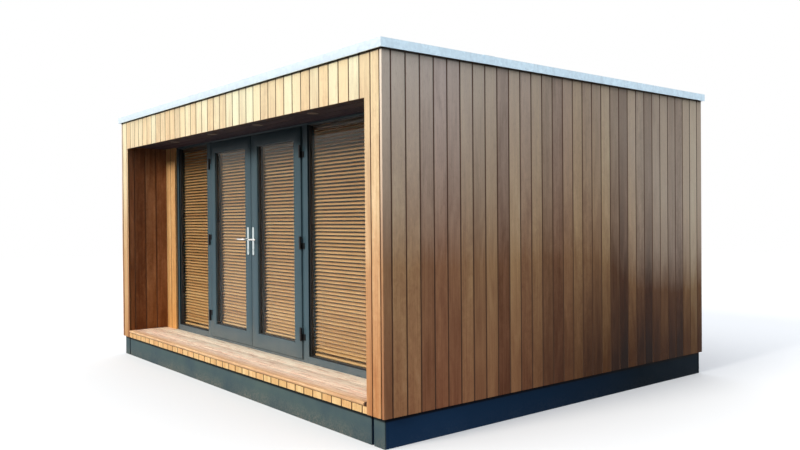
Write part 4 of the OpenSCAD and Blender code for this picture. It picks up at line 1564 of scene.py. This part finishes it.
def doorway_seal():
    """The rubber strip round the doorway, on the face of the stops, where the leaves press on it."""
    doorway = (door_left, door_right, door_foot, glass_top)
    tip = stop_face - SEAL_T
    points = [(doorway, SEAL_FOOT[0], stop_face), (doorway, SEAL_FOOT[1], stop_face),
              (doorway, SEAL_TIP[1], tip), (doorway, SEAL_TIP[0], tip)]
    return frame_ring(ring_rows(points))


light_panes = [rectangle_of("left_sidelight_glass"), rectangle_of("right_sidelight_glass")]
light_front, light_back = left_pane[0][1], left_pane[1][1]
beads = [bead_ring(pane, front_y, light_front) for pane in light_panes]
add_piece("sidelight_beads", beads, screen_paint, "pod")
wedges = [wedge_ring(pane, light_front, -1) for pane in light_panes]
wedges += [wedge_ring(pane, light_back, 1) for pane in light_panes]
wedges.append(doorway_seal())
add_piece("screen_rubber", wedges, gasket_black, "pod")

# %% [markdown]
# A leaf has eased outer edges, a fine groove where the bead begins and a bevelled edge
# where the two leaves meet. The rubber seal on that edge belongs to the left leaf only,
# and it stops short of the right one, so that either leaf can swing by itself.

# %% Build the door leaves
LEAF_EASED = 0.0025
LEAF_BEVEL = 0.005
BACK_EASED = 0.001
BEAD_LINE = 0.0014
SEAL_D = 0.012
SEAL_IN_LEAF = 0.002
SEAL_ROUND = 0.0015


def leaf_ring(leaf, pane, front, back, meeting):
    """A whole leaf as one mitred ring. meeting is 1 if its meeting edge is on the right, else -1."""
    points = [(leaf, 0.0, front + LEAF_EASED), (leaf, 0.3 * LEAF_EASED, front + 0.3 * LEAF_EASED),
              (leaf, LEAF_EASED, front), (pane, -BEAD_W - BEAD_LINE, front),
              (pane, -BEAD_W - BEAD_LINE, front + BEAD_LINE), (pane, -BEAD_W, front + BEAD_LINE),
              (pane, -BEAD_W, front), (pane, -BEAD_BEVEL, front), (pane, 0.0, front + BEAD_BEVEL),
              (pane, 0.0, back - BACK_EASED), (pane, -BACK_EASED, back), (leaf, LEAF_EASED, back),
              (leaf, 0.0, back - LEAF_EASED)]
    rows = np.array(ring_rows(points))
    edge = 1 if meeting > 0 else 0
    from_leaf = np.array([point[0] is leaf for point in points])
    sloped = LEAF_BEVEL * (rows[:, 4] - front) / (back - front)
    rows[:, edge] -= np.where(from_leaf, meeting * sloped, 0.0)
    return frame_ring(rows)


def meeting_seal(low, high):
    """The soft strip on the left leaf's bevelled edge, half way through its depth."""
    middle = (low[1] + high[1]) / 2
    edge = high[0] - LEAF_BEVEL / 2
    plan = soft_box(edge - SEAL_IN_LEAF, middle - SEAL_D / 2, edge + SEAL_T, middle + SEAL_D / 2, SEAL_ROUND)
    return upright(plan, low[2] + LEAF_EASED, high[2] - LEAF_EASED)


for side, meeting in (("left", 1), ("right", -1)):
    door = side + "_door"
    pane = rectangle_of(door + "_glass")
    door_low, door_high = corners_of(door)
    pane_low, pane_high = corners_of(door + "_glass")
    solid = leaf_ring(rectangle_of(door), pane, door_low[1], door_high[1], meeting)
    add_piece(door + "_leaf", [solid], screen_paint, door, [door])
    rubber = [wedge_ring(pane, pane_low[1], -1), wedge_ring(pane, pane_high[1], 1)]
    if meeting > 0:
        rubber.append(meeting_seal(door_low, door_high))
    add_piece(door + "_rubber", rubber, gasket_black, door)

# %% [markdown]
# ## Glass
#
# A sealed unit is two sheets of glass with a spacer between their edges. A refracting
# material would need many bounces to light what lies behind it, and a thin flat sheet
# hardly shifts the view anyway. So the sheet is a mirror whose strength follows the
# Fresnel law, laid over clear transparency with the faint green of float glass. Only
# the faces that point to the eye reflect, because a second mirror inside the sheet would
# trap light in it, and their share is lowered to about a third, as what a real pane
# mirrors is rarely as white as a studio.

# %% Glass finish and sealed units
SHEET_GLASS = 0.004
SPACER_W = 0.0045
FRESNEL_IOR = 1.45
MIRROR_SHARE = 0.34
CLEAR_GREEN = (0.980, 0.990, 0.984)
MIRROR_GREEN = (0.90, 0.95, 0.93)
PANES = {"left_sidelight_glass": "pod", "right_sidelight_glass": "pod",
         "left_door_glass": "left_door", "right_door_glass": "right_door"}


def glass_finish():
    """Fresnel mirror over clear transparency, on the faces that point to the eye."""
    finish, tree, output = new_finish("float_glass")
    fresnel = put(tree, "Fresnel", {"IOR": FRESNEL_IOR}).outputs[0]
    facing = maths(tree, "SUBTRACT", 1.0, put(tree, "NewGeometry").outputs["Backfacing"])
    share = maths(tree, "MULTIPLY", maths(tree, "MULTIPLY", fresnel, MIRROR_SHARE), facing)
    smear = noise(tree, object_place(tree), 3.0, 3.0, 0.6)
    clear = put(tree, "BsdfTransparent", {"Color": opaque(CLEAR_GREEN)})
    mirror = put(tree, "BsdfGlossy", {"Color": mixed(tree, smear, MIRROR_GREEN, WHITE), "Roughness": 0.0})
    both = put(tree, "MixShader", {0: share, 1: clear.outputs[0], 2: mirror.outputs[0]})
    tree.links.new(both.outputs[0], output.inputs["Surface"])
    return finish


def sheet_box(low, high, front, back):
    """One sheet of glass between two depths."""
    return upright(box_outline(low[0], front, high[0], back), low[2], high[2])


glass = glass_finish()
spacer_metal = dark_finish("spacer", (0.05, 0.05, 0.052), 0.4, 300.0, 0.0001)
for node, body in PANES.items():
    low, high = corners_of(node)
    outer, inner = low[1] + SHEET_GLASS, high[1] - SHEET_GLASS
    sheets = [sheet_box(low, high, low[1], outer), sheet_box(low, high, inner, high[1])]
    add_piece(node + "_sheets", sheets, glass, body, [node])
    pane = rectangle_of(node)
    spacer = [(pane, 0.0, outer), (pane, SPACER_W, outer), (pane, SPACER_W, inner), (pane, 0.0, inner)]
    add_piece(node + "_spacer", [frame_ring(ring_rows(spacer))], spacer_metal, body)

# %% [markdown]
# ## Slatted blinds
#
# Each blind hangs from a headrail behind its pane: flat wooden slats with rounded edges,
# tilted so that their outer edges point down, ladder cords that carry them, and a heavier
# bottom rail. The slats are varnished basswood, honey coloured, and the headrail with its
# valance is the same wood, made dark as painted shade under the soffit.

# %% Finishes of the blinds
BLIND_STOPS = (
    (0.00, (0.070, 0.035, 0.020)),
    (0.18, (0.440, 0.200, 0.070)),
    (0.50, (0.680, 0.380, 0.160)),
    (1.00, (0.840, 0.560, 0.280)),
)
COTTON = ((0.50, 0.38, 0.24), (0.68, 0.56, 0.40))


def wood_finish():
    """Varnished basswood: honey colour with fine streaks along the slat."""
    finish, tree, output = new_finish("blind_wood")
    light = parts(tree, attribute(tree, "board"))[0]
    streak = noise(tree, stretched(tree, attribute(tree, "grain"), 160.0, 160.0, 4.0), 1.0, 3.0, 0.6, 0.3)
    tone = maths(tree, "ADD", light, spread(tree, streak, 0.25, 0.75, -0.16, 0.16))
    colour = ramp(tree, tone, BLIND_STOPS)
    shine = spread(tree, streak, 0.3, 0.7, 0.30, 0.40)
    principled(tree, output, colour, shine, bumped(tree, streak, 0.0002, 0.4))
    return finish


def cord_finish():
    """Woven cotton cord, as a fine twist along its length."""
    finish, tree, output = new_finish("blind_cord")
    twist = put(tree, "TexWave", {"Vector": object_place(tree), "Scale": 420.0, "Distortion": 1.5},
                bands_direction="DIAGONAL").outputs[1]
    principled(tree, output, mixed(tree, twist, *COTTON), 0.85, bumped(tree, twist, 0.0003, 0.7))
    return finish


blind_wood = wood_finish()
blind_cord = cord_finish()
print("blind finishes ready")

# %% [markdown]
# The slats are sections in the plane across the window, turned by the tilt and carried
# along X. A real slat never lies exactly as its neighbour does, so each gets a hair of
# extra tilt and its own stretch of grain. The cords pass the slats at both edges and
# through their middle. On a door, two brackets hold the headrail to the leaf.

# %% Hang the blinds
SLAT_W = 0.035
SLAT_T = 0.0028
SLAT_TILT = math.radians(28)
SLAT_PLAY = 0.3
SLAT_PITCH = 0.029
SLAT_END_GAP = 0.012
SLAT_LIGHT = (0.5, 0.07)
# the valance, the headrail and the bottom rail; the first two are made dark as painted shade
RAIL_LIGHTS_WITH_SHADE = (0.0, 0.0, 0.55)
GRAIN_REACH = 9.0
HEADRAIL_H = 0.040
HEADRAIL_D = 0.044
HEADRAIL_SET_UP = 0.004
RAIL_H = 0.016
CORD_INSET = 0.110
CORD_T = 0.0013
CORD_IN_HEADRAIL = 0.006
VALANCE_T = 0.006
BRACKET_W = 0.020
BRACKET_LOW = 0.001
BRACKET_ROUND = 0.0015
HEADRAIL_ROUND = 0.002
RAIL_ROUND = 0.004


def blind_slats(stack, low, high, middle, draw):
    """Rounded slats, one pitch apart down from the headrail. middle is the blind's x and y."""
    top = high[2] - HEADRAIL_H - SLAT_END_GAP
    count = math.floor((top - low[2] - RAIL_H - SLAT_END_GAP) / SLAT_PITCH) + 1
    flat = soft_box(-SLAT_W / 2, -SLAT_T / 2, SLAT_W / 2, SLAT_T / 2, SLAT_T * ROUNDEST)
    for number in range(count):
        tilt = SLAT_TILT + math.radians(draw.normal(0.0, SLAT_PLAY))
        turn = np.array([[math.cos(tilt), math.sin(tilt)], [-math.sin(tilt), math.cos(tilt)]])
        height = top - number * SLAT_PITCH
        section = flat @ turn + (middle[1], height)
        kind = (draw.normal(*SLAT_LIGHT), 0.5, 0.5)
        stack.add(lengthways(section, low[0], high[0]), np.array([*middle, height]), Y_AXIS, Z_AXIS, X_AXIS,
                  kind, draw.uniform(-GRAIN_REACH, GRAIN_REACH, 3))


def blind_rails(stack, low, high, middle, front, draw):
    """The valance, the headrail behind it, and the bottom rail."""
    under = high[2] - HEADRAIL_H
    back = middle[1] + HEADRAIL_D / 2
    valance_back = front + VALANCE_T
    rails = (soft_box(front, under, valance_back, high[2], HEADRAIL_ROUND),
             soft_box(valance_back, under + HEADRAIL_SET_UP, back, high[2], HEADRAIL_ROUND),
             soft_box(middle[1] - SLAT_W / 2, low[2], middle[1] + SLAT_W / 2, low[2] + RAIL_H, RAIL_ROUND))
    for section, light in zip(rails, RAIL_LIGHTS_WITH_SHADE):
        place = np.array([*middle, section[:, 1].mean()])
        stack.add(lengthways(section, low[0], high[0]), place, Y_AXIS, Z_AXIS, X_AXIS, (light, 0.5, 0.5),
                  draw.uniform(-GRAIN_REACH, GRAIN_REACH, 3))


def hang_blind(node, body, on_leaf):
    """Slats, rails, cords and, on a leaf, brackets, inside the box of the blind's node."""
    low, high = corners_of(node)
    middle = (low[0] + (high[0] - low[0]) / 2, high[1] - HEADRAIL_D / 2)
    front = middle[1] - HEADRAIL_D / 2
    draw = np.random.default_rng(SEEDS[node])
    stack = BoardStack()
    blind_slats(stack, low, high, middle, draw)
    blind_rails(stack, low, high, middle, front, draw)
    stack.piece(node + "_slats", blind_wood, body, "blind_wood", [node])
    reach = SLAT_W / 2 * math.cos(SLAT_TILT) + CORD_T
    half = CORD_T / 2
    cord_top = high[2] - HEADRAIL_H + CORD_IN_HEADRAIL
    cords = []
    brackets = []
    for x in (low[0] + CORD_INSET, high[0] - CORD_INSET):
        for y in (middle[1] - reach, middle[1], middle[1] + reach):
            ring = soft_box(x - half, y - half, x + half, y + half, CORD_T * ROUNDEST)
            cords.append(upright(ring, low[2] + RAIL_H / 2, cord_top))
        if on_leaf:
            plan = soft_box(x - BRACKET_W / 2, low[1], x + BRACKET_W / 2, front + VALANCE_T, BRACKET_ROUND)
            brackets.append(upright(plan, cord_top, high[2] - BRACKET_LOW))
    add_piece(node + "_cords", cords, blind_cord, body)
    if brackets:
        add_piece(node + "_brackets", brackets, zinc, body)


hang_blind("left_sidelight_blind", "pod", False)
hang_blind("right_sidelight_blind", "pod", False)
hang_blind("left_door_blind", "left_door", True)
hang_blind("right_door_blind", "right_door", True)

# %% [markdown]
# ## Downlights, floor and the pieces that stay
#
# Each downlight is a turned ring: a profile spun round a vertical axis, with a frosted
# lens set back in it. The profile runs from the outer top edge down, round the bezel's
# face and back up inside.

# %% Fit the downlights
LAMPS = 4
BEZEL_W = 0.012
LENS_BACK = 0.002
LENS_OVERLAP = 0.0005

lamp_low, lamp_high = corners_of("downlights")
lamp_r = (lamp_high[1] - lamp_low[1]) / 2
lamp_t = lamp_high[2] - lamp_low[2]
lamp_gap = (lamp_high[0] - lamp_low[0] - 2 * lamp_r) / (LAMPS - 1)
hole_r = lamp_r - BEZEL_W
# (radius, height above the bezel's lowest face), from its outer top edge down and round
bezel_profile = [(lamp_r, lamp_t), (lamp_r, 0.0015), (lamp_r - 0.0006, 0.0005), (lamp_r - 0.002, 0.0),
                 (hole_r + 0.001, 0.0004), (hole_r, 0.0012), (hole_r, lamp_t)]
bezels = []
lenses = []
for number in range(LAMPS):
    middle = np.array([lamp_low[0] + lamp_r + number * lamp_gap, lamp_low[1] + lamp_r, lamp_low[2]])
    bezels.append(turned_profile(bezel_profile, middle))
    disc = circle(hole_r + LENS_OVERLAP, TURNED_SIDES) + middle
    lenses.append(loft([disc + Z_AXIS * LENS_BACK, disc + Z_AXIS * lamp_t]))
# The bezel and lens get dark greys, which paint the deep shade of the soffit.
bezel_grey_in_shade = dark_finish("downlight_bezel", (0.10, 0.085, 0.08), 0.45, 400.0, 0.0001)
lens_grey_in_shade = lining_finish("downlight_lens", (0.20, 0.16, 0.14))
add_piece("downlight_bezels", bezels, bezel_grey_in_shade, "pod", ["downlights"])
add_piece("downlight_lenses", lenses, lens_grey_in_shade, "pod")

# %% [markdown]
# Behind the glass lies a plain board floor. Its rows are staggered by a third of a board,
# as a floor layer does, so that no two end joints meet. Each board is a bar with a fine
# bevel, and what the room's walls cut off is left out.

# %% Lay the room's floor
FLOOR_BOARD_W = 0.19
FLOOR_BOARD_L = 1.29
FLOOR_BEVEL = 0.0012
FLOOR_STAGGER = 3
FLOOR_LIGHT = (0.78, 0.03)
FLOOR_RED = 0.3
FLOOR_GRAIN_DEEP = 0.01

room_low, room_high = corners_of("room_floor")
floor_stack = BoardStack()
floor_draw = np.random.default_rng(SEEDS["room_floor"])
rows = math.ceil((room_high[1] - room_low[1]) / FLOOR_BOARD_W)
for row in range(rows):
    row_low = room_low[1] + row * FLOOR_BOARD_W
    row_high = min(row_low + FLOOR_BOARD_W, room_high[1])
    first = room_low[0] - FLOOR_BOARD_L * (row % FLOOR_STAGGER) / FLOOR_STAGGER
    cuts = np.arange(first, room_high[0] + FLOOR_BOARD_L, FLOOR_BOARD_L)
    cuts = np.clip(cuts, room_low[0], room_high[0])
    section = soft_box(row_low, room_low[2], row_high, room_high[2], FLOOR_BEVEL, 2)
    for start, end in zip(cuts[:-1], cuts[1:]):
        if end - start < FLOOR_BOARD_W / 4:
            continue
        middle = np.array([(start + end) / 2, (row_low + row_high) / 2, room_high[2]])
        kind = (floor_draw.normal(*FLOOR_LIGHT), FLOOR_RED, floor_draw.uniform(0, 1))
        shift = floor_draw.uniform(-GRAIN_REACH, GRAIN_REACH, 3) * (1.0, FLOOR_GRAIN_DEEP, 1.0)
        floor_stack.add(lengthways(section, start, end), middle, Y_AXIS, Z_AXIS, X_AXIS, kind, shift)
floor_stack.piece("room_floor_boards", cedar_deck, "pod", "room_boards", ["room_floor"])

# %% [markdown]
# The rest of the frame is already right as it stands. Levers, plates and hinges are small
# exact solids, and the walls and timbers are plain panels behind the boards. A node like
# that keeps its mesh, and only its material is exchanged.

# %% Finish the pieces that stay
KEPT = (
    (chrome, ("left_handle_plates", "right_handle_plates")),
    (lever_chrome, ("left_lever", "right_lever")),
    (hinge_black, ("screen_hinges", "left_door_hinges", "right_door_hinges")),
    (wall_lining, ("left_wall", "right_wall", "back_wall", "front_wall_left", "front_wall_right",
                   "front_wall_head", "roof_panel")),
    (base_timber, ("fascia_beam", "base_panel", "floor_bearers")),
)
for finish, nodes in KEPT:
    for node in nodes:
        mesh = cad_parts[node].data
        mesh.materials.clear()
        mesh.materials.append(finish)
print(sum(len(nodes) for finish, nodes in KEPT), "nodes keep their own shape")
